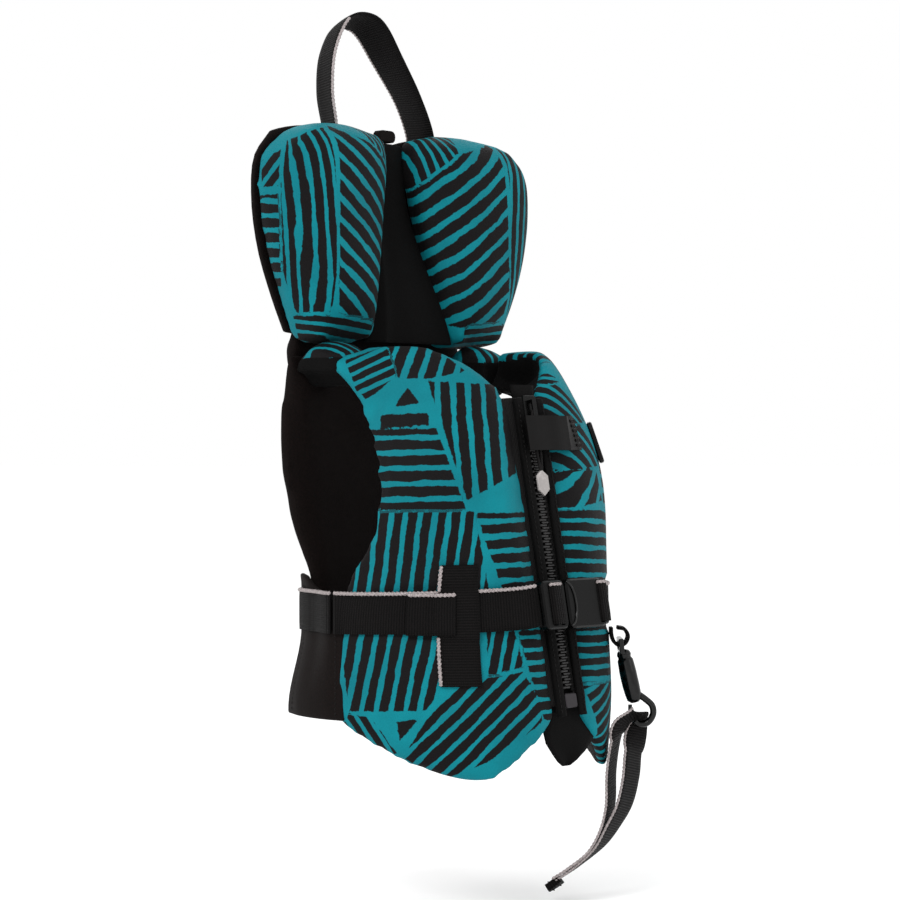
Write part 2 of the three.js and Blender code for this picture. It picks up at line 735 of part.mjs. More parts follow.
// A band of webbing along points of (along, height, depth), with a width and a twist at each
function band(points, half, twist, thick, n) {
  const curve = new THREE.CatmullRomCurve3(
    points.map(([l, z, d]) => V(hang(l, z, HOOK_D + d))),
    false,
    'centripetal',
  );
  const layer = (m) =>
    [...Array(n + 1).keys()].map((i) => {
      const t = i / n;
      const p = curve.getPoint(t);
      const d = curve.getTangent(t);
      const a = twist(t);
      const across = HANG.out.clone().multiplyScalar(Math.cos(a));
      across.addScaledVector(HANG.along, Math.sin(a));
      across.addScaledVector(d, -across.dot(d)).normalize();
      const flat = across.clone().cross(d);
      return [-1, 1].map((e) =>
        p.clone().addScaledVector(across, e * half(t)).addScaledVector(flat, m).toArray(),
      );
    });
  return slab(layer(thick / 2), layer(-thick / 2));
}

// Webbing loop under the belt, snap hook with its swivelling eye, nose and gate
function legHardware() {
  const loop = [
    [95.6, -10.4], [95.9, -15], [97.6, -19.6], [101, -21.8], [104.8, -20], [106.4, -15.6],
    [104, -11.4], [99.6, -10.4],
  ].map(([l, z]) => [l, z, 0]);
  add('strap_anchor_loop', band(loop, () => 9, () => 0, 1.2, 14), 'webbing');
  const eye = cut(
    plate(-1.6, 1.6, -5, 5, -13, 13, 0.6, 0.5),
    box(-3, 3, -10, 10, -2.7, 2.7),
  );
  const stem = box(-1.4, 1.4, -3, 3, -7, -4);
  const eyePlace = turned(0.08, 101.8, -21.9);
  add('hook_swivel_eye', join(eye, stem).applyMatrix4(eyePlace), 'hook_metal');
  const lean = 0.25;
  const body = plate(-5.3, 5.3, -14.6, 14.6, -4.6, 4.6, 3.6, 1.5).applyMatrix4(
    turned(lean, 108, -43.6),
  );
  const nose = bar(
    [[112.4, -53], [118, -56.6], [122, -60.6], [122.6, -66], [119, -71.4], [113.6, -72.2],
      [110.4, -70]].map(([l, z]) => hang(l, z, HOOK_D)),
    2, 8, 14,
  );
  add('hook_body', join(body, nose), 'hook_metal');
  const gate = bar([[108.6, -67.4], [108, -64], [108, -59.8]].map(([l, z]) =>
    hang(l, z, HOOK_D)), 1.3, 8, 6);
  add('hook_gate', gate, 'hook_metal');
}

// Doubled webbing through the hook, down to the folded stop
function legStrap() {
  const route = [
    [62, -168.2, 0], [70, -164, 0], [84, -152.6, 0], [91.4, -139.6, -0.4], [95.2, -124, -1.5],
    [95.8, -102, -3], [98.6, -82, -5], [102.4, -71, -7], [110.6, -65.4, -6.6], [115.6, -65.2, -0.2],
    [115.4, -69.4, 6.4], [112.6, -78, 7.4], [110.2, -92, 5.4], [108.6, -107, 3],
    [104.4, -124, 1.4], [97.4, -137.2, 1], [88.4, -150.8, 1], [73.4, -164, 1], [64.4, -169.4, 1],
  ];
  const top = 0.5;
  const near = (t) => Math.max(0, 1 - Math.abs(t - top) / 0.16);
  const half = (t) => 12.3 - 8.3 * Math.min(1, near(t) * 1.5);
  const twist = (t) => 0.22 + 1.3 * near(t) ** 0.8;
  add('leg_strap', band(route, half, twist, 1.2, 64), 'webbing');
  const stop = plate(-13, 3, -4.8, 4.8, -12.5, 12.5, 2, 0.8);
  add('leg_strap_stop', welded(stop.applyMatrix4(turned(0.5, 59, -175.6))), 'webbing');
}

backPanel();
for (const [side, s] of [['right', -1], ['left', 1]]) {
  sidePanel(side, s);
  shoulder(side, s);
  frontPanel(side, s);
  collarLobe(side, s);
  collarBacking(side, s);
  frontBelt(side, s);
}
collarCentre();
neckBand();
grabHandle();
zipper();
slider();
pull();
chestTab();
buckle();
keepers();
backBelt();
lashTab();
legHardware();
legStrap();

export default group;
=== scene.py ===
"""Child's printed life jacket: the looks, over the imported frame. Lengths are millimetres up to make()."""
import math

import bmesh
import bpy
import numpy as np
from mathutils import Matrix, Vector
from mathutils.bvhtree import BVHTree


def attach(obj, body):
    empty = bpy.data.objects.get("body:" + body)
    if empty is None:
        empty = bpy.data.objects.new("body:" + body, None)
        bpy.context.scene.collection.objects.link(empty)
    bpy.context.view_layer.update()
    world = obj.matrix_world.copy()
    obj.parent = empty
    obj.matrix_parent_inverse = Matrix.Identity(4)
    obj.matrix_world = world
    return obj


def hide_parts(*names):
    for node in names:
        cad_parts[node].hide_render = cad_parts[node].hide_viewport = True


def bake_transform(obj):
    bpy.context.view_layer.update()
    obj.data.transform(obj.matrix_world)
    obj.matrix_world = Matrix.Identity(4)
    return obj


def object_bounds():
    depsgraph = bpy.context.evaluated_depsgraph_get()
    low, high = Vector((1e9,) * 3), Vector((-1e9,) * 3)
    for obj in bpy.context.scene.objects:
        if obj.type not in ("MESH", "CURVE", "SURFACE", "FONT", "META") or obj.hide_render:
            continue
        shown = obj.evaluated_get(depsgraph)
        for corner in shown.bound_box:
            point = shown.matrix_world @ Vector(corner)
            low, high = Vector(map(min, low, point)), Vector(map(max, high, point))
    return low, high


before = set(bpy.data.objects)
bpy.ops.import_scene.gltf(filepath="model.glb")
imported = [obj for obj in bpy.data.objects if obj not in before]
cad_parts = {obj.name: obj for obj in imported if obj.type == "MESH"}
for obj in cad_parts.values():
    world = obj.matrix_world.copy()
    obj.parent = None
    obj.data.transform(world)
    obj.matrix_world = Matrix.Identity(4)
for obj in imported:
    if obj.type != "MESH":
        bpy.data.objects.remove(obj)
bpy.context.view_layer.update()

WEB = 25.0  # width of the belt and the handle
WEB_T = 1.5
BUCKLE_W = 5.0  # height of the buckle's middle along the zipper
BELT_SIDE_Z = {"right": 2.2, "left": 3.8}
EDGE_R = 1.15
TOOTH_PITCH = 3.4
ACROSS = np.linspace(-WEB / 2, WEB / 2, 7)
scene = bpy.context.scene
V = lambda *a: np.array(a, float)


def unit(a):
    a = np.asarray(a, float)
    return a / max(np.linalg.norm(a), 1e-12)


def smooth(t):
    t = np.clip(t, 0, 1)
    return t * t * (3 - 2 * t)


# ---------------------------------------------------------------- materials
class Nodes:
    """A node material with short names for what it needs."""

    def __init__(self, name, **sockets):
        self.mat = bpy.data.materials.new(name)
        self.mat.use_nodes = True
        self.tree = self.mat.node_tree
        self.bsdf = self.tree.nodes["Principled BSDF"]
        for k, v in sockets.items():
            self.bsdf.inputs[k.replace("_", " ")].default_value = v

    def new(self, kind, out=0, inputs=None, **attrs):
        n = self.tree.nodes.new("ShaderNode" + kind)
        for k, v in attrs.items():
            setattr(n, k, v)
        for k, v in (inputs or {}).items():
            self.put(n.inputs[k], v)
        return n.outputs[out]

    def put(self, socket, v):
        if isinstance(v, bpy.types.NodeSocket):
            self.tree.links.new(v, socket)
        else:
            socket.default_value = v

    def math(self, op, a, b=0.0, c=0.0):
        return self.new("Math", operation=op, inputs={0: a, 1: b, 2: c})

    def mul(self, a, b):
        return self.math("MULTIPLY", a, b)

    def add(self, a, b):
        return self.math("ADD", a, b)

    def sub(self, a, b):
        return self.math("SUBTRACT", a, b)

    def step(self, v, lo, hi, a=0.0, b=1.0):
        return self.new("MapRange", inputs={0: v, 1: lo, 2: hi, 3: a, 4: b})

    def attr(self, name):
        return self.new("Attribute", out="Fac", attribute_name=name)

    def where(self):
        return self.new("TexCoord", out="Object")

    def noise(self, scale, detail=2.0, rough=0.5, where=None):
        return self.new(
            "TexNoise",
            inputs={"Vector": where or self.where(), "Scale": scale, "Detail": detail, "Roughness": rough},
        )

    def grain(self, scale):
        return self.new("TexVoronoi", inputs={"Vector": self.where(), "Scale": scale})

    def mix(self, f, a, b):
        n = self.tree.nodes.new("ShaderNodeMix")
        n.data_type = "RGBA"
        self.put(n.inputs[0], f)
        self.put(n.inputs[6], a)
        self.put(n.inputs[7], b)
        return n.outputs[2]

    def bump(self, height, distance, strength=1.0, below=None):
        ins = {"Height": height, "Distance": distance, "Strength": strength}
        if below is not None:
            ins["Normal"] = below
        return self.new("Bump", inputs=ins)

    def finish(self, colour=None, rough=None, normal=None):
        for name, v in (("Base Color", colour), ("Roughness", rough), ("Normal", normal)):
            if v is not None:
                self.put(self.bsdf.inputs[name], v)
        return self.mat


def rgb(r, g, b):
    def lin(c):
        c /= 255
        return c / 12.92 if c < 0.04045 else ((c + 0.055) / 1.055) ** 2.4

    return (lin(r), lin(g), lin(b), 1.0)


def cloth_grain(k, fine=1500.0, coarse=170.0):
    """Knitted face of neoprene: small loops over soft dimples."""
    loops = k.grain(fine)
    soft = k.noise(coarse, 3.0)
    wave = k.noise(34.0, 1.0)
    return k.bump(loops, 0.00022, 0.5, k.bump(soft, 0.0006, 0.35, k.bump(wave, 0.004, 0.3)))


def make_print():
    k = Nodes("print", Sheen_Weight=0.01, Sheen_Roughness=0.5, Specular_IOR_Level=0.12)
    wob = k.noise(260.0, 3.0, 0.6)
    slow = k.noise(45.0, 1.0)
    shift = k.add(k.mul(k.sub(wob, 0.5), 0.17), k.mul(k.sub(slow, 0.5), 0.22))
    phase = k.add(k.attr("phase"), shift)
    off = k.math("ABSOLUTE", k.sub(k.math("FRACT", phase), 0.5))
    wide = k.step(k.noise(60.0, 1.0), 0.3, 0.7, 0.27, 0.37)
    bar = k.step(k.sub(wide, off), -0.018, 0.018)
    edge = k.add(k.add(k.attr("block"), 0.5), k.mul(k.sub(wob, 0.5), 2.6))
    inside = k.step(edge, -0.2, 0.25)
    dark = k.mul(bar, inside)
    tone = k.noise(900.0, 4.0, 0.7)
    teal = k.mix(k.step(k.noise(30.0, 2.0), 0.35, 0.65), rgb(0, 108, 119), rgb(0, 122, 133))
    teal = k.mix(k.step(tone, 0.3, 0.75, 0.0, 0.18), teal, rgb(0, 74, 82))
    char = k.mix(k.step(tone, 0.35, 0.7), rgb(4, 4, 5), rgb(15, 12, 13))
    colour = k.mix(dark, teal, char)
    rough = k.step(tone, 0.2, 0.8, 0.62, 0.78)
    return k.finish(colour, rough, cloth_grain(k))


def make_neoprene(name, low, high, rough=0.75):
    k = Nodes(name, Sheen_Weight=0.006, Sheen_Roughness=0.45, Specular_IOR_Level=0.08)
    t = k.noise(700.0, 4.0, 0.7)
    colour = k.mix(k.step(t, 0.35, 0.7), low, high)
    return k.finish(colour, k.step(t, 0.2, 0.8, rough - 0.08, rough + 0.08), cloth_grain(k, 1300.0, 120.0))


def make_webbing():
    """Ribbed weave: ribs across the band, each made of two rows of floats."""
    k = Nodes("webbing", Sheen_Weight=0.006, Sheen_Roughness=0.4, Specular_IOR_Level=0.09)
    along, across = k.attr("along"), k.attr("across")
    rib = k.math("PINGPONG", k.mul(along, 0.59), 0.5)
    ribs = k.step(rib, 0.06, 0.5)
    lane = k.math("PINGPONG", k.mul(across, 0.72), 0.5)
    lanes = k.step(lane, 0.0, 0.3)
    thread = k.mul(ribs, k.step(lanes, 0.0, 1.0, 0.45, 1.0))
    fuzz = k.noise(1600.0, 2.0)
    colour = k.mix(thread, rgb(1, 1, 1), rgb(13, 10, 10))
    colour = k.mix(k.step(fuzz, 0.45, 0.75, 0.0, 0.35), colour, rgb(24, 19, 19))
    height = k.add(thread, k.mul(fuzz, 0.25))
    return k.finish(colour, k.step(thread, 0.0, 1.0, 0.75, 0.5), k.bump(height, 0.0005, 0.9))


def make_edge():
    k = Nodes("reflective_edge")
    t = k.noise(1400.0, 3.0)
    colour = k.mix(k.step(t, 0.35, 0.65), rgb(104, 96, 96), rgb(172, 162, 161))
    return k.finish(colour, k.step(t, 0.3, 0.7, 0.35, 0.6), k.bump(t, 0.0003, 0.6))


def make_hard(name, low, high, rough, grain=900.0, depth=0.00008, **sockets):
    k = Nodes(name, **sockets)
    t = k.noise(grain, 3.0, 0.6)
    wear = k.noise(90.0, 5.0, 0.7)
    colour = k.mix(k.step(wear, 0.55, 0.75), low, high)
    ro = k.add(k.step(wear, 0.4, 0.75, rough, rough + 0.14), k.mul(t, 0.05))
    return k.finish(colour, ro, k.bump(t, depth, 0.6))


def make_tape():
    k = Nodes("zip_tape", Specular_IOR_Level=0.15)
    across, along = k.attr("across"), k.attr("along")
    ribs = k.step(k.math("PINGPONG", k.mul(across, 0.9), 0.5), 0.05, 0.45)
    slant = k.add(k.mul(along, 1.1), k.mul(across, 0.5))
    picks = k.step(k.math("PINGPONG", slant, 0.5), 0.1, 0.4)
    h = k.mul(ribs, k.step(picks, 0.0, 1.0, 0.5, 1.0))
    colour = k.mix(h, rgb(4, 4, 4), rgb(18, 16, 16))
    return k.finish(colour, k.step(h, 0.0, 1.0, 0.8, 0.6), k.bump(h, 0.0003, 0.7))


MAT = {
    "print": make_print(),
    "neoprene": make_neoprene("black_neoprene", rgb(8, 5, 4), rgb(19, 12, 11)),
    # the darker lining material is also used as painted shade on the collar's centre panel
    "lining": make_neoprene("black_lining_and_painted_shade", rgb(3, 3, 3), rgb(9, 8, 8), 0.85),
    "webbing": make_webbing(),
    "edge": make_edge(),
    "plastic": make_hard("black_plastic", rgb(2, 2, 2), rgb(6, 5, 5), 0.24, Specular_IOR_Level=0.13),
    "tape": make_tape(),
    "teeth": make_hard("moulded_teeth", rgb(12, 10, 10), rgb(26, 22, 22), 0.3, Specular_IOR_Level=0.4),
    "box_metal": make_hard("dull_metal", rgb(50, 47, 50), rgb(84, 80, 84), 0.42, 400.0, 0.0001, Metallic=0.7),
    "hook_metal": make_hard("black_enamel", rgb(1, 1, 1), rgb(4, 4, 4), 0.14, 700.0, 0.00003, Coat_Weight=0.1,
                            Coat_Roughness=0.08, Specular_IOR_Level=0.25),
    "tag": make_hard("light_tag", rgb(150, 145, 143), rgb(178, 172, 170), 0.4),
    "thread": make_hard("thread", rgb(12, 10, 10), rgb(26, 22, 22), 0.7, 2000.0, 0.0002,
                        Specular_IOR_Level=0.2),
    "smooth": make_hard("smooth_strap", rgb(5, 4, 4), rgb(12, 10, 10), 0.4, 1500.0, 0.00012,
                        Specular_IOR_Level=0.1),
}


# ---------------------------------------------------------------- meshes
def make(name, verts, faces, mat, mm=True):
    mesh = bpy.data.meshes.new(name)
    mesh.from_pydata([tuple(v) for v in np.asarray(verts, float) * (0.001 if mm else 1)], [], faces)
    mesh.update()
    o = bpy.data.objects.new(name, mesh)
    scene.collection.objects.link(o)
    mesh.materials.append(MAT[mat] if isinstance(mat, str) else mat)
    mesh.shade_smooth()
    return o


def outward(o, weld=True):
    """Turns the faces out, after welding the vertices that meet."""
    bm = bmesh.new()
    bm.from_mesh(o.data)
    if weld:
        bmesh.ops.remove_doubles(bm, verts=bm.verts, dist=1e-6)
    bmesh.ops.recalc_face_normals(bm, faces=bm.faces)
    bm.to_mesh(o.data)
    bm.free()
    return o


def coords(o):
    c = np.zeros(len(o.data.vertices) * 3)
    o.data.vertices.foreach_get("co", c)
    return c.reshape(-1, 3) * 1000


def set_coords(o, mm):
    o.data.vertices.foreach_set("co", (mm * 0.001).astype(np.float32).ravel())
    o.data.update()


def store(o, name, values):
    a = o.data.attributes.get(name) or o.data.attributes.new(name, "FLOAT", "POINT")
    a.data.foreach_set("value", np.asarray(values, np.float32))


def bake_modifiers(o):
    dg = bpy.context.evaluated_depsgraph_get()
    new = bpy.data.meshes.new_from_object(o.evaluated_get(dg), depsgraph=dg)
    old = o.data
    o.modifiers.clear()
    o.data = new
    bpy.data.meshes.remove(old)
    return o


def apply(o, kind, **settings):
    m = o.modifiers.new(kind.lower(), kind)
    for k, v in settings.items():
        setattr(m, k, v)
    return bake_modifiers(o)


def bevel(o, width):
    """A bevel that stays as a modifier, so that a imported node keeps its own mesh."""
    m = o.modifiers.new("bevel", "BEVEL")
    m.width, m.segments = width * 0.001, 2
    m.limit_method, m.angle_limit = "ANGLE", math.radians(35)
    m.harden_normals = False


def round_edges(o, width, segments):
    apply(o, "BEVEL", width=width * 0.001, segments=segments, limit_method="ANGLE")
    o.data.shade_smooth()
    return o


def lengths(p):
    """Distance along a row of points, from its first."""
    return np.r_[0, np.cumsum(np.linalg.norm(np.diff(p, axis=0), axis=1))]


def ring_faces(rings, sides, k=0):
    """Faces of a tube with closed ends, whose rings of vertices start at vertex k."""
    faces = []
    for r in range(rings - 1):
        a = k + r * sides
        for c in range(sides):
            e = (c + 1) % sides
            faces.append([a + c, a + e, a + sides + e, a + sides + c])
    last = k + (rings - 1) * sides
    return faces + [[k + c for c in reversed(range(sides))], [last + c for c in range(sides)]]


def slab(front, back):
    """Vertices and faces of a closed sheet between two grids of points."""
    f, b = np.array(front), np.array(back)
    r, c = f.shape[:2]
    half = r * c
    pts = np.vstack([f.reshape(-1, 3), b.reshape(-1, 3)])
    at = lambda i, j: i * c + j
    faces = []
    for i in range(r - 1):
        for j in range(c - 1):
            q = [at(i, j), at(i, j + 1), at(i + 1, j + 1), at(i + 1, j)]
            faces += [q, [half + k for k in reversed(q)]]
    for i in range(r - 1):
        faces.append([at(i + 1, 0), half + at(i + 1, 0), half + at(i, 0), at(i, 0)])
        faces.append([at(i, c - 1), half + at(i, c - 1), half + at(i + 1, c - 1), at(i + 1, c - 1)])
    for j in range(c - 1):
        faces.append([at(0, j), half + at(0, j), half + at(0, j + 1), at(0, j + 1)])
        faces.append([at(r - 1, j + 1), half + at(r - 1, j + 1), half + at(r - 1, j), at(r - 1, j)])
    return pts, faces


def catmull(points):
    """The same centripetal curve that the CAD source uses, t from 0 to 1."""
    p = np.array(points, float)
    e = np.vstack([2 * p[0] - p[1], p, 2 * p[-1] - p[-2]])

    def at(t):
        x = min(max(t, 0.0), 1.0) * (len(p) - 1)
        i = min(int(x), len(p) - 2)
        w = x - i
        a, b, c, d = e[i : i + 4]
        d0, d1, d2 = (max(((q - r) @ (q - r)) ** 0.25, 1e-4) for q, r in ((b, a), (c, b), (d, c)))
        t1 = ((b - a) / d0 - (c - a) / (d0 + d1) + (c - b) / d1) * d1
        t2 = ((c - b) / d1 - (d - b) / (d1 + d2) + (d - c) / d2) * d1
        return b + t1 * w + (-3 * b + 3 * c - 2 * t1 - t2) * w * w + (2 * b - 2 * c + t1 + t2) * w**3

    return at


class Surface:
    """A sheet over four rails: u runs across from the middle rail to the side rail, v up."""

    def __init__(self, rails, s=1, turn=1):
        self.s, self.turn = s, turn
        self.curves = [catmull([(x * s, y, z) for x, y, z in rails[k]])
                       for k in ("middle", "inner", "outer", "side")]

    def point(self, u, v):
        a, b, c, d = (k(v) for k in self.curves)
        t = 1 - u
        return a * t**3 + b * 3 * t * t * u + c * 3 * t * u * u + d * u**3

    def normal(self, u, v):
        h = 0.004
        u0, u1, v0, v1 = max(0, u - h), min(1, u + h), max(0, v - h), min(1, v + h)
        n = np.cross(self.point(u1, v) - self.point(u0, v), self.point(u, v1) - self.point(u, v0))
        return unit(n) * self.s * self.turn

    def v_at(self, u, z):
        lo, hi = 0.0, 1.0
        for _ in range(24):
            mid = (lo + hi) / 2
            lo, hi = (mid, hi) if self.point(u, mid)[2] < z else (lo, mid)
        return (lo + hi) / 2

    def lay(self, u, z, lift):
        """The point over (u, z) at a height above the sheet, and the sheet's normal there."""
        v = self.v_at(u, z)
        n = self.normal(u, v)
        return self.point(u, v) + n * lift, n

    def tree(self, nu=28, nv=44):
        pts, nor = [], []
        for i in range(nu + 1):
            for j in range(nv + 1):
                pts.append(self.point(i / nu, j / nv))
                nor.append(self.normal(i / nu, j / nv))
        faces = [[i * (nv + 1) + j, i * (nv + 1) + j + 1, (i + 1) * (nv + 1) + j + 1, (i + 1) * (nv + 1) + j]
                 for i in range(nu) for j in range(nv)]
        tree = BVHTree.FromPolygons([tuple(p) for p in pts], faces)
        nor = np.array(nor)

        def height(co):
            out = np.zeros(len(co))
            for k, p in enumerate(co):
                loc, _, f, _ = tree.find_nearest(Vector(p))
                out[k] = (p - np.array(loc)) @ unit(nor[faces[f]].mean(0))
            return out

        return height


FRONT_RAILS = {
    "middle": [(12.9, -94, -64), (12.9, -91.8, -40), (12.9, -86.8, -4), (12.9, -80.4, 36), (12.9, -73, 74),
               (12.9, -64, 108), (13.2, -55, 137), (25, -48, 153), (44, -26, 168), (55, 16, 168)],
    "inner": [(46, -97, -100), (54, -97, -54), (54, -93, -4), (52, -87, 32), (46, -80, 72),
              (42, -73, 110), (40, -61, 141), (47, -46, 160), (56, -23, 173), (64, 17, 171)],
    "outer": [(90, -66, -113), (98, -53, -56), (100, -50, -4), (101, -56, 26), (93, -61, 64),
              (84, -60, 100), (77, -52, 128), (73, -36, 149), (72, -15, 167), (76, 21, 168)],
    "side": [(103, 3, -66), (104, 3, -34), (104, 3, -4), (104, -3, 23), (104, -23, 50),
             (101, -27, 79), (94.5, -16, 110), (88, -1, 130), (84, 13, 148), (84, 25, 160)],
}
BACK_RAILS = {
    "middle": [(-88, 66, -64), (-84, 60, -2), (-88, 66, 60), (-90, 70, 115), (-84, 67, 162)],
    "inner": [(-42, 84, -62), (-40, 81, -2), (-40, 84, 60), (-42, 88, 115), (-42, 80, 166)],
    "outer": [(42, 84, -62), (40, 81, -2), (40, 84, 60), (42, 88, 115), (42, 80, 166)],
    "side": [(88, 66, -64), (84, 60, -2), (88, 66, 60), (90, 70, 115), (84, 67, 162)],
}
LOBE_RAILS = {
    "middle": [(43, 0, 178), (38, 0, 197), (30, 0, 224), (22, 0, 256), (16, 0, 288), (16, 0, 303)],
    "inner": [(56, 0, 176), (56, 0, 196), (52, 0, 224), (46, 0, 258), (42, 0, 292), (40, 0, 311)],
    "outer": [(72, 0, 176), (81, 0, 196), (89, 0, 224), (94, 0, 258), (88, 0, 292), (73, 0, 312)],
    "side": [(85, 0, 178), (96, 0, 200), (108, 0, 230), (113.5, 0, 262), (111, 0, 288), (97, 0, 303)],
}
SIDES = (("right", -1), ("left", 1))
FRONT = {side: Surface(FRONT_RAILS, s) for side, s in SIDES}
BACK = Surface(BACK_RAILS, 1, -1)

swell = lambda t, p: 1 - abs(2 * t - 1) ** p
front_thick = lambda u, v: 11 + 20 * swell(u, 3) * swell(v, 5) + 15 * smooth((v - 0.8) / 0.18)
back_thick = lambda u, v: 10 + 8 * swell(u, 3) * swell(v, 5)
lobe_thick = lambda u, v: 15 + 11 * u * u + (21 - 6 * u) * swell(u, 2.6) * swell(v, 4) ** 0.8

ZIP_TOP, ZIP_BOTTOM = V(0, -58, 138), V(0, -93, -50)
ZUP = unit(ZIP_TOP - ZIP_BOTTOM)
ZOUT = V(0, -ZUP[2], ZUP[1])
ZERO = ZIP_BOTTOM - ZUP * (ZIP_BOTTOM[2] / ZUP[2])


def zp(x, n, w):
    return ZERO + ZOUT * n + ZUP * w + V(x, 0, 0)


def cinch(points):
    """The back and the sides as the belt draws them in."""
    p = np.array(points, float)
    g = smooth(1 - (np.abs(p[..., 2] - 3) - 12) / 52) * smooth((p[..., 1] - 4) / 34)
    p[..., :2] *= (1 - 0.078 * g)[..., None]
    return p


# ---------------------------------------------------------------- soft pieces
def puff(o, pressure, cap, frames=20, mass=0.3):
    """Inflates a closed cloth a little, by simulation, and keeps the result."""
    start = coords(o)
    m = o.modifiers.new("cloth", "CLOTH")
    s = m.settings
    s.quality, s.mass = 5, mass
    s.use_pressure, s.uniform_pressure_force = True, pressure
    s.effector_weights.gravity = 0
    s.tension_stiffness = s.compression_stiffness = 18
    s.shear_stiffness, s.bending_stiffness = 8, 0.6
    m.collision_settings.use_collision = False
    m.point_cache.frame_start, m.point_cache.frame_end = 1, frames
    for f in range(1, frames + 1):
        scene.frame_set(f)
    dg = bpy.context.evaluated_depsgraph_get()
    e = o.evaluated_get(dg).data
    c = np.zeros(len(e.vertices) * 3)
    e.vertices.foreach_get("co", c)
    o.modifiers.remove(m)
    move = c.reshape(-1, 3) * 1000 - start
    size = np.linalg.norm(move, axis=1, keepdims=True)
    set_coords(o, start + move * np.minimum(1, cap / np.maximum(size, 1e-9)))
    scene.frame_set(1)
    return o


def spread(grid, low_u, high_u, low_v, high_v):
    """Moves the four borders of a grid outwards along the sheet."""
    g = np.array(grid)
    for axis, low, high in ((0, low_u, high_u), (1, low_v, high_v)):
        h = np.swapaxes(g, 0, axis)
        a, b = h[0] - h[1], h[-1] - h[-2]
        h[0] += low * a / np.maximum(np.linalg.norm(a, axis=1, keepdims=True), 1e-6)
        h[-1] += high * b / np.maximum(np.linalg.norm(b, axis=1, keepdims=True), 1e-6)
    return g


def soft_solid(name, outer, inner, mat, voxel=4.0, pressure=4.0, cap=4.0, levels=1, rounds=3, rim=(0, 0, 0, 0)):
    """Closed solid between two grids, remeshed, inflated, smoothed and subdivided. The rim widens its borders."""
    o = outward(make(name, *slab(spread(outer, *rim), spread(inner, *rim)), mat))
    apply(o, "REMESH", mode="VOXEL", voxel_size=voxel * 0.001)
    apply(o, "SMOOTH", factor=0.5, iterations=rounds)
    puff(o, pressure, cap)
    apply(o, "SMOOTH", factor=0.5, iterations=6)
    apply(o, "SUBSURF", levels=levels, render_levels=levels)
    o.data.shade_smooth()
    return o


def two_grids(nu, nv, place):
    """An outer and an inner grid of points, from a function that places a pair at (u, v)."""
    pairs = [[place(i / nu, j / nv) for j in range(nv + 1)] for i in range(nu + 1)]
    return [[[pair[k] for pair in row] for row in pairs] for k in (0, 1)]


def padded_grids(surface, thick, nu, nv, start):
    """Both grids of a padded panel; start is how far the outer one lies under the surface."""

    def place(u, v):
        p, n = surface.point(u, v), surface.normal(u, v)
        return p - n * start, p - n * (thick(u, v) - 0.6)

    return two_grids(nu, nv, place)


def polygon_distance(p, poly):
    """Distance inside a convex polygon, negative outside."""
    poly = np.array(poly, float)
    area = sum(poly[i - 1][0] * poly[i][1] - poly[i][0] * poly[i - 1][1] for i in range(len(poly)))
    if area < 0:
        poly = poly[::-1]
    best = np.full(len(p), 1e9)
    for i in range(len(poly)):
        a, b = poly[i - 1], poly[i]
        e = unit(b - a)
        best = np.minimum(best, (p - a) @ np.array([-e[1], e[0]]))
    return best


def paint(o, where, blocks):
    """Stores, for every vertex, how deep it is in its block of bars and its place across the bars."""
    best = np.full(len(where), -1e3)
    phase = np.zeros(len(where))
    for poly, (dx, dz), pitch in blocks:
        d = polygon_distance(where, poly)
        n = unit([-dz, dx])
        ph = (where - np.array(poly[0])) @ n / pitch + 0.5 if pitch else np.full(len(where), 0.5)
        take = d > best
        best[take], phase[take] = d[take], ph[take]
    store(o, "block", best)
    store(o, "phase", phase)


# Blocks of bars: outline, direction of the bars, pitch. Panel blocks use (across, height), the
# distance across the front quarter view of that panel and the height, in millimetres.
FRONT_BLOCKS = [
    ([(-42, 168), (-24, 174), (5, 152), (-20, 147), (-36, 148)], (-3, -10), 10),
    ([(-69, 159), (-44, 168), (-37, 150), (-55, 134), (-62, 141)], (10, 4.5), 6.3),
    ([(-37, 130), (-23.5, 132), (-30, 141)], (1, 0), 0),
    ([(-46, 124), (-18, 125.5), (-17, 119), (-46, 117)], (1, 0.04), 0),
    ([(-54, 115), (-12.5, 115.5), (5.5, 67), (-54, 67)], (1, 0.015), 9.4),
    ([(-17, 145), (30, 143), (39, 90), (7, 73), (-5, 108)], (0.08, -1), 9.4),
    ([(-52, 65), (10.5, 65), (20, 14), (-76, 14), (-70, 30)], (-0.13, -1), 8.6),
    ([(-71, -8), (-8, -8), (-10, -42), (-19, -55), (-66, -57)], (-0.2, -1), 8.8),
    ([(12.5, 64), (52, 64), (58, 17), (29, 17)], (1, 0.02), 9.2),
    ([(38, -8), (66, -8), (68, -66), (54, -62)], (1, -0.02), 7.6),
    ([(19, -8), (35, -8), (41, -29), (20, -34)], (-0.2, -1), 7.6),
    ([(-5, -40), (41, -33), (52, -55), (52, -64), (20, -86), (-9, -98), (-36, -82), (-16, -58)],
     (1, 0.98), 8.2),
    ([(-66, -60), (-53, -61), (-37, -82), (-50, -80), (-71, -70)], (6, -9), 6.5),
    ([(-36, -63), (-24, -61), (-34, -73)], (1, 0), 0),
]
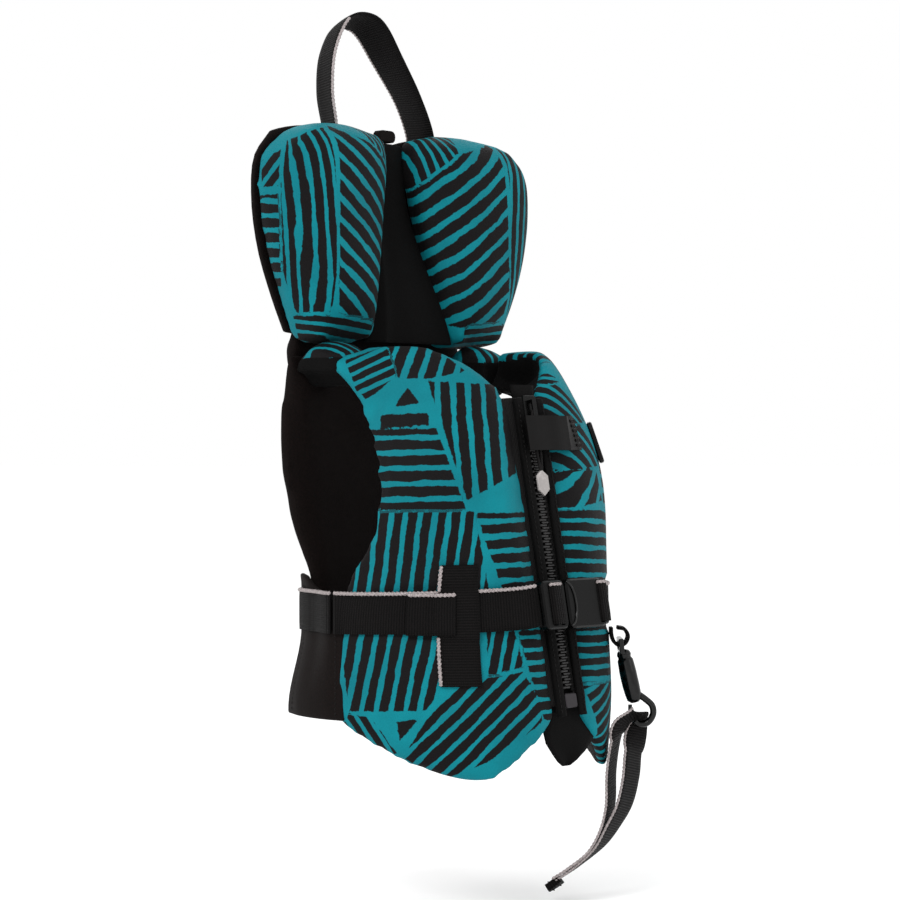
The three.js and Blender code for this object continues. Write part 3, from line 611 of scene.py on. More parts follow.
LEFT_BLOCKS = [
    ([(58, 170), (20, 172), (10, 147), (52, 141)], (10, 1.6), 5.6),
    ([(50, 139), (14, 145), (0, 122), (24, 119)], (-8, -10), 7.2),
    ([(58, 111), (12, 119), (-6, 94), (40, 90)], (-9, -10), 9.0),
    ([(56, 88), (8, 90), (4, 71), (50, 66)], (10, -9), 12.0),
    ([(56, 64), (-30, 66), (-30, 17), (56, 17)], (1, 0.06), 8.6),
    ([(58, -8), (-30, -8), (-30, -42), (58, -42)], (1, 0.04), 7.2),
    ([(58, -45), (-6, -45), (-10, -90), (40, -98)], (1, -0.5), 7.6),
    ([(-34, 64), (-60, 64), (-70, 17), (-34, 17)], (0.1, 1), 8.6),
    ([(-34, -8), (-70, -8), (-66, -60), (-34, -60)], (0.15, 1), 8.6),
    ([(-9, 118), (-50, 118), (-54, 69), (0, 69)], (1, 0.05), 9.2),
    ([(-2, 166), (-44, 166), (-50, 124), (-6, 124)], (-3, 10), 9.0),
]
LOBE_BLOCKS = [
    ([(-2, 305), (47, 314), (41, 300), (-8, 264)], (-4, 10), 7.5),
    ([(45, 299), (79, 308), (80, 262), (82, 214), (78, 190), (44, 184), (20, 190), (-6, 262)], (10, 7.4), 11.2),
    ([(84, 306), (116, 296), (121, 262), (119, 214), (108, 190), (84, 190)], (0.1, 1), 8.8),
    ([(124, 262), (142, 262), (138, 206), (122, 206)], (1, 0.1), 8.8),
    ([(122, 290), (138, 284), (138, 268), (124, 268)], (10, -9), 9.5),
    ([(44, 187), (110, 187), (104, 170), (46, 170)], (1, 0.1), 6.0),
]


def across_view(co, s):
    """Place across the panel's own front quarter view, growing towards the zipper."""
    return np.stack([0.669 * -s * co[:, 0] - 0.743 * co[:, 1], co[:, 2]], 1)


def line_inside(o, inside):
    """Gives the lining to the faces whose vertices are all inside."""
    o.data.materials.append(MAT["lining"])
    for f in o.data.polygons:
        if all(inside[i] for i in f.vertices):
            f.material_index = 1


def ride_as(o, body, slot, *nodes, bend=None, fill=None):
    """Hides the imported nodes a piece stands for and parents the piece to its body's empty; a piece given a bend
    is only baked where it stands, unparented. The slot and fill are not used.
    """
    if nodes:
        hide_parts(*nodes)
    if bend:
        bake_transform(o)
    else:
        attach(o, body)


def front_panel(side, s):
    surf = FRONT[side]
    outer, inner = padded_grids(surf, front_thick, 16, 26, 1.6)
    low_collar = np.exp(-(((np.linspace(0, 1, 27)[:, None] - 0.7) / 0.1) ** 2))
    rim = (3.4 + 6 * low_collar, 7.0, 2.5, 4.5)
    o = soft_solid(f"front_panel_{side}", outer, inner, "print", 3.8, 4.0, 3.6, rim=rim)
    height = surf.tree()
    c = coords(o)
    # the panel ends in a soft point below
    c[:, 2] -= 5 * np.exp(-((np.abs(c[:, 0]) - 58) / 18) ** 2) * smooth((-76 - c[:, 2]) / 20)
    h = height(c)
    # the belt and the keeper press the panel in a little
    belt = np.abs(c[:, 2] - (BELT_SIDE_Z[side] + BUCKLE_W) / 2)
    limit = 0.3 + 2.6 * smooth((belt - 13.5) / 9)
    if side == "right":
        a = across_view(c, s)[:, 0]
        under = (np.abs(a - 4.5) < 15) & (c[:, 2] < 36) & (c[:, 2] > -44)
        limit = np.where(under, np.minimum(limit, 1.6), limit)
    over = np.maximum(0, h - limit)
    n = np.zeros(len(c) * 3)
    o.data.vertices.foreach_get("normal", n)
    out = h > -4
    c[out] -= n.reshape(-1, 3)[out] * over[out, None]
    set_coords(o, c)
    line_inside(o, height(coords(o)) < -6.5)
    paint(o, across_view(c, s), FRONT_BLOCKS if side == "right" else LEFT_BLOCKS)
    nodes = [f"front_{layer}_{side}" for layer in ("cover", "foam", "lining")]
    ride_as(o, f"front_{side}", "print", *nodes, fill=0.8)


def back_panel():
    outer, inner = padded_grids(BACK, back_thick, 18, 20, 1.4)
    o = soft_solid("back_panel", outer, inner, "neoprene", 5.0, 3.5, 3.0, rim=(8.5, 8.5, 3, 5.5))
    set_coords(o, cinch(coords(o)))
    ride_as(o, "back", "neoprene", "back_cover", "back_foam", "back_lining", fill=0.8)


def pillow(side, s):
    surf = Surface(LOBE_RAILS, s)

    def place(u, v):
        p = surf.point(u, v)
        full = 15 * (1 - u) ** 2 * (1 - smooth(v / 0.75))
        return V(p[0], 66 - lobe_thick(u, v) - 3.4 - full, p[2]), V(p[0], 65.6, p[2])

    outer, inner = two_grids(16, 20, place)
    o = soft_solid(f"collar_pillow_{side}", outer, inner, "print", 3.8, 4.0, 3.6, rim=(2.6, 4.2, 7.5, 4.6))
    c = coords(o)
    c[:, 1] = np.minimum(c[:, 1], 66.0)
    set_coords(o, c)
    x = np.abs(c[:, 0])
    turn = np.clip(c[:, 1] - 37, 0, 30)
    across = x + turn * smooth((x - 66) / 20) - 0.4 * turn * smooth((50 - x) / 14)
    paint(o, np.stack([across, c[:, 2]], 1), LOBE_BLOCKS)
    nodes = [f"collar_{layer}_{side}" for layer in ("cover", "foam", "pillow_back")]
    ride_as(o, f"pillow_{side}", "print", *nodes, fill=0.85)


def backing(side, s):
    rim = {}
    for k, r in LOBE_RAILS.items():
        rim[k] = [(x + {"side": 3.0, "middle": -3.4}.get(k, 0), 0, z + (2.2 if i == len(r) - 1 else 0))
                  for i, (x, _, z) in enumerate(r)]
    surf = Surface(rim, s)
    layer = lambda y: [[V(*(surf.point(i / 12, j / 16) * V(1, 0, 1))) + V(0, y, 0) for j in range(17)]
                       for i in range(13)]
    o = outward(make(f"collar_backing_{side}", *slab(layer(66.2), layer(69.4)), "neoprene"))
    round_edges(o, 1.2, 2)
    ride_as(o, f"pillow_{side}", "neoprene", f"collar_backing_{side}")


def collar_centre():
    rows = [(178, 42), (197, 37), (224, 29), (256, 21), (288, 15), (304, 14)]
    zs = catmull([(x, 0, z) for z, x in rows])
    front, back = [], []
    for j in range(25):
        p = zs(j / 24)
        line = [-1 + i / 6 for i in range(13)]
        near = 20 * (1 - smooth((p[2] - 176) / 95))
        fold = lambda t: 4.5 * math.exp(-(((t + 0.7) / 0.17) ** 2))
        depth = lambda t: 60.5 - near - 3.0 * (1 - t * t) ** 2 - fold(t)
        front.append([V(t * p[0], depth(t), p[2] - near * 0.3) for t in line])
        back.append([V(t * p[0], 69 - 1.0 * t * t, p[2]) for t in line])
    # painted shade: this centre panel is black neoprene, but it takes the darker lining material to stand for the
    # shadow between the two pillows
    o = round_edges(outward(make("collar_centre_panel", *slab(front, back), "lining")), 2, 3)
    ride_as(o, "collar", "neoprene", "collar_centre")


def neck_fold():
    """Soft fold of fabric that joins the back panel to the collar."""
    front, back = [], []
    for i in range(33):
        x = -80 + 160 * i / 32
        bow = 2.2 * (1 - (x / 80) ** 2)
        crease = 0.5 * math.sin(x * 0.31) + 0.4 * math.sin(x * 0.83 + 1)
        zs = [(155, 70, 76), (160, 69, 77), (166, 67.5, 78), (170, 66.6, 77 + crease), (174, 66.4, 75 - crease),
              (178, 66.4, 73), (182, 66.6, 71), (187, 67, 69.6)]
        front.append([V(x, a + bow * 0.3, z) for z, a, b in zs])
        back.append([V(x, b + bow, z) for z, a, b in zs])
    o = soft_solid("neck_fold", back, front, "neoprene", 3.0, 2.0, 1.5)
    bend = ("back", "collar", (0, 0.071, 0.165), (0, 0.071, 0.18))
    ride_as(o, None, "neoprene", "neck_band", bend=bend, fill=0.3)


# ---------------------------------------------------------------- webbing and edges
def strip(name, grid, normals, thick, mat="webbing", crown=0.25):
    """A band of webbing: grid[i][j] runs along i and across j on its middle surface."""
    g, n = np.array(grid), np.array(normals)
    cols = g.shape[1]
    prof = np.array([1 - crown * abs(2 * j / (cols - 1) - 1) ** 6 for j in range(cols)])[None, :, None]
    top, bottom = g + n * prof * thick / 2, g - n * prof * thick / 2
    o = make(name, *slab(top, bottom), mat)
    a = np.repeat(lengths(g[:, cols // 2])[:, None], cols, 1).ravel()
    w = np.repeat(lengths(g.mean(0))[None, :], len(g), 0).ravel()
    store(o, "along", np.r_[a, a])
    store(o, "across", np.r_[w, w])
    return outward(o, weld=False)


def resample(points, step):
    p = np.array(points)
    d = lengths(p)
    n = max(2, int(d[-1] / step))
    t = np.linspace(0, d[-1], n + 1)
    return np.stack([np.interp(t, d, p[:, k]) for k in range(3)], 1)


def tube_frames(p):
    d = np.gradient(p, axis=0)
    d /= np.linalg.norm(d, axis=1, keepdims=True)
    ref = V(0, 0, 1) if abs(d[0] @ V(0, 0, 1)) < 0.9 else V(1, 0, 0)
    side = []
    s = unit(np.cross(d[0], ref))
    for k in d:
        s = unit(s - k * (s @ k))
        side.append(s)
    side = np.array(side)
    return side, np.cross(d, side)


def rope(name, points, radius, mat, pitch=0.0, lobes=2, deep=0.22, sides=8, step=0.8):
    """A round or twisted cord along points, with closed ends."""
    p = resample(points, step)
    a, b = tube_frames(p)
    s = np.arange(len(p)) * step
    th = np.linspace(0, 2 * np.pi, sides, endpoint=False)
    rings = []
    for i in range(len(p)):
        r = radius * (1 + deep * np.cos(lobes * (th - 2 * np.pi * s[i] / pitch))) if pitch else radius
        end = 0.35 if i in (0, len(p) - 1) else 1.0
        ring = np.outer(np.cos(th) * r * end, a[i]) + np.outer(np.sin(th) * r * end, b[i])
        rings.append(p[i] + ring)
    return outward(make(name, np.vstack(rings), ring_faces(len(p), sides), mat))


def joined(name, objects):
    """One object from several, with each one's materials."""
    bm = bmesh.new()
    mats = []
    for o in objects:
        start = len(mats)
        mats += list(o.data.materials)
        before = len(bm.faces)
        bm.from_mesh(o.data)
        bm.faces.ensure_lookup_table()
        for f in bm.faces[before:]:
            f.material_index += start
    mesh = bpy.data.meshes.new(name)
    bm.to_mesh(mesh)
    bm.free()
    for m in mats:
        mesh.materials.append(m)
    for o in objects:
        data = o.data
        bpy.data.objects.remove(o)
        bpy.data.meshes.remove(data)
    o = bpy.data.objects.new(name, mesh)
    scene.collection.objects.link(o)
    mesh.shade_smooth()
    return o


def reflective(name, points, body, radius=EDGE_R):
    ride_as(rope(name, points, radius, "edge", pitch=5.2, deep=0.26), body, "webbing")


def stitches(name, points, normals):
    """A row of short stitches that lie on a surface."""
    pitch, size, radius, lift = 3.2, 2.1, 0.32, 0.15
    nn = np.array(normals)
    p = np.array(points) + nn * lift
    d = lengths(p)
    at = lambda t, rows: np.array([np.interp(t, d, rows[:, k]) for k in range(3)])
    verts, faces = [], []
    t = 1.0
    while t + size < d[-1]:
        a, b = at(t, p), at(t + size, p)
        m, n = (a + b) / 2, unit(at(t + size / 2, nn))
        along = unit(b - a)
        side = np.cross(along, n)
        faces += ring_faces(4, 5, len(verts))
        crest, sink = n * 0.12, n * 0.2
        for q, w in ((a - sink, 0.5), ((a + m) / 2 + crest, 1), ((b + m) / 2 + crest, 1), (b - sink, 0.5)):
            for c in range(5):
                th = 2 * math.pi * c / 5
                verts.append(q + (side * math.cos(th) + n * math.sin(th)) * radius * w)
        t += pitch
    return outward(make(name, verts, faces, "thread"))


def front_belt(side, s):
    surf = FRONT[side]
    start = 27.8 if s > 0 else -31.8
    rows = [[zp(start, 13.4 + WEB_T / 2, BUCKLE_W + e) for e in ACROSS]]
    nor = [[ZOUT] * len(ACROSS)]
    cols = 44
    for i in range(cols + 1):
        u = 0.19 + (0.985 - 0.19) * i / cols
        zc = BUCKLE_W + (BELT_SIDE_Z[side] - BUCKLE_W) * i / cols
        lift = 1.0 + WEB_T / 2 + 6 * max(0, 1 - (u - 0.19) / 0.1)
        row, normals = zip(*(surf.lay(u, zc + e, lift) for e in ACROSS))
        rows.append(list(row))
        nor.append(list(normals))
    for t in (0.0, 0.06):
        p, out = side_point(s, t, 1.25 + WEB_T / 2)
        rows.append([V(p[0], p[1] - 1.5, BELT_SIDE_Z[side] + e) for e in ACROSS])
        nor.append([out] * len(ACROSS))
    o = strip(f"waist_belt_{side}", rows, nor, WEB_T)
    ride_as(o, f"front_{side}", "webbing", f"belt_front_{side}")
    top = [r[-1] + np.array(n[-1]) * 0.35 + V(0, 0, 0.1) for r, n in zip(rows, nor)]
    reflective(f"belt_edge_{side}", top, f"front_{side}")


def panel_strip(name, u0, u1, z0, z1, lift, cols, rows, node, along_z):
    """A patch of webbing on the wearer's right panel; along_z turns its ribs."""
    g, n = [], []
    for i in range(cols + 1):
        gr, nr = [], []
        for j in range(rows + 1):
            a, b = (j / rows, i / cols) if along_z else (i / cols, j / rows)
            u, z = u0 + (u1 - u0) * a, z0 + (z1 - z0) * b
            p, nn = FRONT["right"].lay(u, z, lift(u, z))
            gr.append(p)
            nr.append(nn)
        g.append(gr)
        n.append(nr)
    ride_as(strip(name, g, n, WEB_T), "front_right", "webbing", node)
    return [r[-1] + nn[-1] * 0.3 for r, nn in zip(g, n)]


def side_point(s, t, n):
    path = catmull([(x * s, y, z) for (x, y), z in zip(
        [(104.8, 5), (105.4, 14), (103.4, 30), (98.6, 46), (91.4, 59.4)], [11, 11.5, 14, 19, 25])])
    p, q = path(t), path(min(1, t + 0.01)) - path(max(0, t - 0.01))
    d = unit([q[0], q[1], 0])
    out = V(d[1] * s, -d[0] * s, 0)
    return p + out * n, out


def side_panel(side, s):
    """Black panel between front and back, tucked under both, with a row of stitches at each seam."""
    tuck = {0: V(0, -5, 0), 1: V(-3.3 * s, 6.2, 0)}

    def place(t, v):
        p, out = side_point(s, t, 0)
        p = p + tuck.get(t, 0)
        q = V(p[0], p[1], -64 + (p[2] + 64) * v)
        bulge = 1.2 * swell(t, 2) * swell(v, 4)
        return q + out * (bulge - 0.6), q - out * 4.6

    outer, inner = two_grids(20, 16, place)
    o = round_edges(outward(make(f"side_{side}", *slab(cinch(outer), cinch(inner)), "neoprene")), 1.6, 3)
    bend = ("back", f"front_{side}", (s * 0.104, 0.022, 0), (s * 0.105, 0.006, 0))
    ride_as(o, None, "neoprene", f"side_panel_{side}", bend=bend, fill=0.3)
    for k, t in (("front", 0.035), ("rear", 0.95)):
        pts, nor = [], []
        for j in range(30):
            p, out = side_point(s, t, -0.75 if k == "rear" else -0.5)
            pts.append(V(p[0], p[1], -62 + (p[2] + 58) * j / 29))
            nor.append(out)
        row = stitches(f"side_stitches_{k}_{side}", cinch(pts), nor)
        ride_as(row, "back", "neoprene", bend=bend if k == "front" else None)


def shoulder(side, s):
    rows = [(31, 168.2, 13), (35, 170, 15), (39, 172, 17), (43, 172.5, 17), (47, 172, 16), (51, 169.8, 14),
            (55.5, 167, 12)]
    deep = 12.5 if side == "right" else 18.5
    line = [(57 + 26 * i / 8, 2.5 * swell(i / 8, 2) - 3 * i / 8) for i in range(9)]
    outer, inner = [], []
    for y, z, t in rows:
        fold = 0.9 * math.sin(y * 1.1)
        outer.append([V(x * s, y, z + a - 0.8 + fold) for x, a in line])
        inner.append([V(x * s, y, z + a - t - deep + (deep - 0.5) * smooth((x - 72) / 10)) for x, a in line])
    o = soft_solid(f"shoulder_{side}_pad", outer, inner, "print", 2.6, 2.0, 1.5, rim=(9, 5, 2.5, 4))
    c = coords(o)
    line_inside(o, c[:, 2] < 161.5)
    block = ([(50, 20), (90, 20), (90, 60), (50, 60)], (0.3, 1), 7.5)
    paint(o, np.stack([np.abs(c[:, 0]), c[:, 1]], 1), [block])
    bend = ("back", f"front_{side}", (s * 0.07, 0.052, 0.165), (s * 0.07, 0.033, 0.165))
    ride_as(o, None, "print", f"shoulder_{side}", bend=bend, fill=0.6)


def back_belt():
    """The belt over the right side, the back and the left side."""
    rows, nor = [], []

    def over_side(side, s, ts):
        for t in ts:
            p, out = side_point(s, t, 1.25 + WEB_T / 2)
            rows.append([V(p[0], p[1], BELT_SIDE_Z[side] + e) for e in ACROSS])
            nor.append([out] * len(ACROSS))

    ts = np.linspace(0.09, 0.99, 16)
    over_side("right", -1, ts)
    for i in range(33):
        u = 0.02 + 0.96 * i / 32
        zc = BELT_SIDE_Z["right"] + (BELT_SIDE_Z["left"] - BELT_SIDE_Z["right"]) * u
        row, normals = zip(*(BACK.lay(u, zc + e, 1.45 + WEB_T / 2) for e in ACROSS))
        rows.append(list(row))
        nor.append(list(normals))
    over_side("left", 1, ts[::-1])
    rows = list(cinch(rows))
    o = strip("waist_belt_back", rows, nor, WEB_T)
    ride_as(o, "back", "webbing", "belt_back")
    reflective("belt_edge_back", [r[-1] + n[-1] * 0.35 for r, n in zip(rows, nor)], "back")


def handle():
    path = catmull([(-42, 72, 305), (-43, 72, 314), (-45.5, 73, 336), (-43, 73.5, 362), (-30, 72, 382),
                    (-12, 71, 383), (8, 70, 363), (28, 70, 340), (42.5, 71, 314), (44, 71, 305)])
    rows, nor = [], []
    line = np.linspace(-1, 1, 7)
    n = 90
    for i in range(n + 1):
        t = i / n
        p, d = path(t), unit(path(min(1, t + 0.004)) - path(max(0, t - 0.004)))
        side = unit(np.cross(V(0, 1, 0), d))
        wide = unit(np.cross(d, side))
        turn = -0.47 * math.cos(math.pi / 2 * min(1, t / 0.8)) + 0.05 * math.sin(9 * t)
        q = Matrix.Rotation(turn, 3, Vector(d))
        across, flat = np.array(q @ Vector(wide)), np.array(q @ Vector(side))
        curl = 0.9 * math.sin(math.pi * t * 3)
        p = p + V(0.8, 0, 0.5) * math.sin(t * 23) * math.sin(math.pi * t)
        rows.append([p + across * e * WEB / 2 + flat * curl * (1 - e * e) for e in line])
        nor.append([flat for _ in line])
    o = strip("grab_handle_webbing", rows, nor, 1.6)
    ride_as(o, "handle", "webbing", "grab_handle")
    reflective("grab_handle_edge_right", [r[0] for r in rows[:40]], "handle", 0.9)
    reflective("grab_handle_edge_left", [r[-1] for r in rows[48:]], "handle", 0.9)


# ---------------------------------------------------------------- zipper
def zip_teeth(side, s, phase):
    """Moulded teeth: a block with a waist and a rounded head, on a bead."""
    verts, faces = [], []
    shape = [(4.5, 0.95), (2.4, 0.8), (1.2, 0.62), (0.2, 0.78), (-1.3, 0.95), (-2.1, 0.6)]
    w = -46 + phase * TOOTH_PITCH + 0.7
    while w < 128:
        faces += ring_faces(len(shape), 8, len(verts))
        for x, h in shape:
            t = 1.45 if x > 0.5 else 1.3
            for a, b in ((-h, -t * 0.6), (-h * 0.6, -t), (h * 0.6, -t), (h, -t * 0.6),
                         (h, t * 0.6), (h * 0.6, t), (-h * 0.6, t), (-h, t * 0.6)):
                verts.append(zp(x * s, b * 1.15, w + a))
        w += TOOTH_PITCH
    o = outward(make(f"teeth_{side}", verts, faces, "teeth"))
    line = [zp(4.7 * s, 0, t) for t in range(-48, 131, 2)]
    bead = rope("bead", line, 1.15, "tape", pitch=2.4, deep=0.12, sides=6)
    o = joined(f"zip_teeth_row_{side}", [o, bead])
    ride_as(o, f"front_{side}", "teeth", f"zip_teeth_{side}")


def zip_band(name, s, x0, x1, n0, n1, w0, w1, body, node, mat="tape", swing=0.0):
    """A band along the zipper, x0 to x1 from its middle, that dips under the panel's edge."""
    rows = []
    for i in range(61):
        w = w0 + (w1 - w0) * i / 60
        wave = swing * math.sin(w * 0.35)
        row = []
        for e in np.linspace(0, 1, 7):
            x = x0 + (x1 - x0) * e
            dip = max(0, (x - 12) / 8) ** 1.3 * 3.2
            row.append(zp(s * x, (n0 + n1) / 2 + wave * e - dip, w))
        rows.append(row)
    ride_as(strip(name, rows, [[ZOUT] * 7] * 61, n1 - n0, mat), body, "tape", node)


def zipper():
    for side, s, phase in (("right", -1, 0), ("left", 1, 0.5)):
        zip_teeth(side, s, phase)
        body = f"front_{side}"
        zip_band(f"zip_tape_{side}_woven", s, 5.2, 21, -0.5, 0.5, -56, 138, body, f"zip_tape_{side}")
        zip_band(f"zip_flap_{side}_fold", s, 6.6, 13.6, 0.9, 3.2, -63, 137, body, f"zip_flap_{side}",
                 "lining", 0.25)
        pts = [zp(s * 11.4, 3.2, w) for w in range(-62, 137, 2)]
        ride_as(stitches(f"zip_stitches_{side}", pts, [ZOUT] * len(pts)), body, "tape")


def buckle_webbing():
    """The belt folded over the bars of the buckle."""
    halves = (("male", "front_right", -24.8, -13.8, 18.9), ("female", "front_left", 20.2, 29.5, 19.3))
    for name, body, x0, x1, n in halves:
        rows, nor = [], []
        for i in range(17):
            a = math.pi * i / 16
            x = (x0 + x1) / 2 - (x1 - x0) / 2 * math.cos(a)
            h = n + 1.0 * math.sin(a) - 5.5 * (1 - math.sin(a)) ** 3
            rows.append([zp(x, h, BUCKLE_W + e) for e in np.linspace(-12.3, 12.3, 7)])
            nor.append([unit(V(-0.5 * math.cos(a), 0, 0) + ZOUT)] * 7)
        o = strip(f"buckle_web_{name}", rows, nor, 1.3)
        ride_as(o, body, "webbing")
        reflective(f"buckle_web_edge_{name}", [r[-1] for r in rows[2:-2]], body, 1.0)


def buckle_rim():
    """Raised rim of the female half's mouth."""
    half = [(-8.4, 18.8, 14), (-5.2, 19.2, 11), (-3.0, 19.3, 6)]
    whole = half + [(-2.4, 19.3, 0)] + [(x, n, -w) for x, n, w in reversed(half)]
    arc = catmull([zp(x, n, BUCKLE_W + w) for x, n, w in whole])
    o = rope("buckle_mouth_rim", [arc(t) for t in np.linspace(0, 1, 50)], 0.75, "hook_metal")
    ride_as(o, "front_left", "plastic")


def pull_tag():
    """Cord loop and a plain six-sided tag."""
    route = [(0.6, 5.6, 129.5), (1.9, 5.2, 126), (2.1, 4.8, 116),
             (1.9, 4.6, 104), (1.0, 4.6, 94.5), (0.4, 4.6, 90.5)]
    cords = []
    for s in (-1, 1):
        line = catmull([zp(x * s, n, w) for x, n, w in route])
        pts = [line(t) for t in np.linspace(0, 1, 40)]
        cords.append(rope("cord", pts, 1.0, "thread", pitch=2.2, deep=0.16, sides=7, step=0.5))
    shape = [(0, 91.5), (5.2, 87.6), (5.2, 78.6), (0, 74.8), (-5.2, 78.6), (-5.2, 87.6)]
    levels = [(0.9, 3.6), (1.0, 3.9), (1.0, 5.0), (0.93, 5.4), (0.8, 5.4), (0.76, 5.1)]
    middle = 83.1
    verts = [zp(x * k, n, middle + (w - middle) * k) for k, n in levels for x, w in shape]
    tag = outward(make("tag", verts, ring_faces(len(levels), len(shape)), "tag"))
    apply(tag, "BEVEL", width=0.0003, segments=2, limit_method="ANGLE")
    o = joined("zip_pull_tag", cords + [tag])
    ride_as(o, "pull", "tag", "zip_pull")


def underlay():
    """Black cloth behind the chain, that widens in the notch under the two panels."""
    rows, nor = [], []
    spans = [(147, -9.5, 13), (139, -8.5, 12), (60, -8.5, 12), (0, -8.5, 12), (-35, -9.5, 12), (-50, -14, 22),
             (-60, -19, 32), (-70, -20, 33), (-78, -18, 28), (-85, -13, 19), (-90, -8, 10), (-93, -3, 3)]
    for w, a, b in spans:
        sink = -3.2 - 6.5 * smooth((-50 - w) / 48)
        rows.append([zp(a + (b - a) * t, sink + 1.0 * math.sin(7 * t + w * 0.2) * (w < -40), w)
                     for t in np.linspace(0, 1, 9)])
        nor.append([ZOUT] * 9)
    o = strip("zip_underlay_cloth", rows, nor, 1.3, "lining")
    ride_as(o, "front_left", "lining", "zip_underlay")


# ---------------------------------------------------------------- leg strap
ALONG, OUT = V(0.669, -0.743, 0), V(0.743, 0.669, 0)


def hang(l, z, d=0.0):
    """A place in the upright plane in which the strap hangs: along it, height, out of it."""
    p = ALONG * (l + 3.4) + OUT * (d - 8.6)
    return V(p[0], p[1], z)


def hung_band(name, points, half, twist, thick, n, body, node, edge=True):
    """A band that hangs along points, with its half width and its twist given along it."""
    path = catmull([hang(*p) for p in points])
    rows, nor = [], []
    for i in range(n + 1):
        t = i / n
        p, d = path(t), unit(path(min(1, t + 0.003)) - path(max(0, t - 0.003)))
        a = twist(t)
        across = OUT * math.cos(a) + ALONG * math.sin(a)
        across = unit(across - d * (across @ d))
        flat = np.cross(across, d)
        rows.append([p + across * e * half(t) for e in np.linspace(-1, 1, 7)])
        nor.append([flat] * 7)
    ride_as(strip(name, rows, nor, thick), body, "webbing", node)
    if edge:
        reflective(name + "_edge", [r[0] for r in rows], body, 0.8)
    return rows


def leg_strap():
    loop = [(95.6, -10.4, 0), (95.9, -15, 0), (97.6, -19.6, 0), (101, -21.8, 0), (104.8, -20, 0),
            (106.4, -15.6, 0), (104, -11.4, 0), (99.6, -10.4, 0)]
    hung_band("anchor_loop", loop, lambda t: 9, lambda t: 0, 2.3, 40, "front_left", "strap_anchor_loop", False)
    route = [
        (58.6, -171.2, 0), (70, -164, 0), (84, -152.6, 0), (91.4, -139.6, -0.4), (95.2, -124, -1.5),
        (95.8, -102, -3), (98.6, -82, -5), (102.4, -71, -7), (110.6, -65.4, -6.6), (115.6, -65.2, -0.2),
        (115.4, -69.4, 6.4), (112.6, -78, 7.4), (110.2, -92, 5.4), (108.6, -107, 3),
        (104.4, -124, 1.4), (97.4, -137.2, 1), (88.4, -150.8, 1), (73.4, -164, 1), (60.6, -172.6, 1),
    ]
    near = lambda t: max(0, 1 - abs(t - 0.5) / 0.16)
    half = lambda t: 12.3 - 8.3 * min(1, near(t) * 1.5)
    swing = lambda t: 0.3 + 0.2 * smooth((t - 0.5) / 0.1) - 0.2 * smooth((t - 0.8) / 0.15)
    twist = lambda t: swing(t) + 1.2 * near(t) ** 0.8
    hung_band("leg_strap_webbing", route, half, twist, 1.2, 150, "strap", "leg_strap")


def folded_end():
    """The strap's end, folded over and sewn."""
    route = [(63.4, -171.6, 0.4), (60.6, -173.8, 0.4), (57.8, -175.8, 0.4), (55.2, -177.4, 0.4)]
    half = lambda t: 12.6 - 0.8 * t
    rows = hung_band("leg_strap_fold", route, half, lambda t: 0.34, 5.4, 24, "strap", "leg_strap_stop", False)
    for k, i in (("a", 6), ("b", 17)):
        first, wide = rows[i][0], rows[i][-1] - rows[i][0]
        flat = unit(np.cross(wide, rows[i + 1][3] - rows[i][3]))
        for side in (-1, 1):
            line = [first + wide * t + flat * side * 2.75 for t in np.linspace(0.1, 0.9, 12)]
            ride_as(stitches(f"strap_stitches_{k}{side + 1}", line, [flat * side] * 12), "strap", "webbing")


def tab_base():
    """Sewn foot of the chest tab."""
    rows, nor = [], []
    height = lambda w: zp(26, 8, w)[2]
    for w in np.linspace(103, 125, 9):
        pts, normals = zip(*(FRONT["left"].lay(u, height(w), 1.0) for u in (0.26, 0.29, 0.325)))
        rows.append([zp(24.6, 8.9, w), zp(27.2, 8.4, w), *pts])
        nor.append([ZOUT, ZOUT, *normals])
    ride_as(strip("chest_tab_foot", rows, nor, 1.3, "smooth"), "front_left", "webbing")
    for k, u in (("a", 0.272), ("b", 0.312)):
        pts, normals = zip(*(FRONT["left"].lay(u, height(w), 1.7) for w in np.linspace(104, 124, 10)))
        ride_as(stitches(f"tab_stitches_{k}", pts, normals), "front_left", "webbing")


def hook():
    """Bolt snap: a barrel with a collar at its neck, and a curved nose."""
    middle = [(103.2, -24.6), (105.2, -33), (107.4, -43), (109.6, -52), (111.2, -58.4)]
    axis = catmull([hang(*q) for q in middle])
    profile = [(0.0, 1.4), (0.03, 4.0), (0.1, 4.8), (0.15, 4.1), (0.2, 5.2),
               (0.4, 5.7), (0.62, 5.7), (0.8, 5.3), (0.93, 4.8), (1.0, 2.6)]
    rings, sides = 40, 20
    ts = np.linspace(0, 1, rings)
    rad = np.interp(ts, *zip(*profile))
    p = np.array([axis(t) for t in ts])
    a, b = tube_frames(p)
    th = np.linspace(0, 2 * np.pi, sides, endpoint=False)
    ring = lambda i: np.outer(np.cos(th), a[i]) + 0.92 * np.outer(np.sin(th), b[i])
    verts = np.vstack([p[i] + rad[i] * ring(i) for i in range(rings)])
    barrel = outward(make("barrel", verts, ring_faces(rings, sides), "hook_metal"))
    nose = catmull([hang(*q) for q in ((111.4, -52), (118, -56.6), (122, -60.6), (122.6, -66), (119, -71.4),
                                       (113.6, -72.2), (110.4, -70))])
    bar = rope("nose", [nose(t) for t in np.linspace(0, 1, 60)], 2.15, "hook_metal", sides=14, step=0.6)
    o = joined("bolt_snap", [barrel, bar])
    ride_as(o, "hook", "hook_metal", "hook_body")


# ---------------------------------------------------------------- build
for side, s in SIDES:
    front_panel(side, s)
    pillow(side, s)
    backing(side, s)
    side_panel(side, s)
    shoulder(side, s)
    front_belt(side, s)
back_panel()
neck_fold()
collar_centre()
back_belt()
handle()
zipper()
buckle_webbing()
buckle_rim()
pull_tag()
underlay()
leg_strap()
folded_end()
tab_base()
hook()

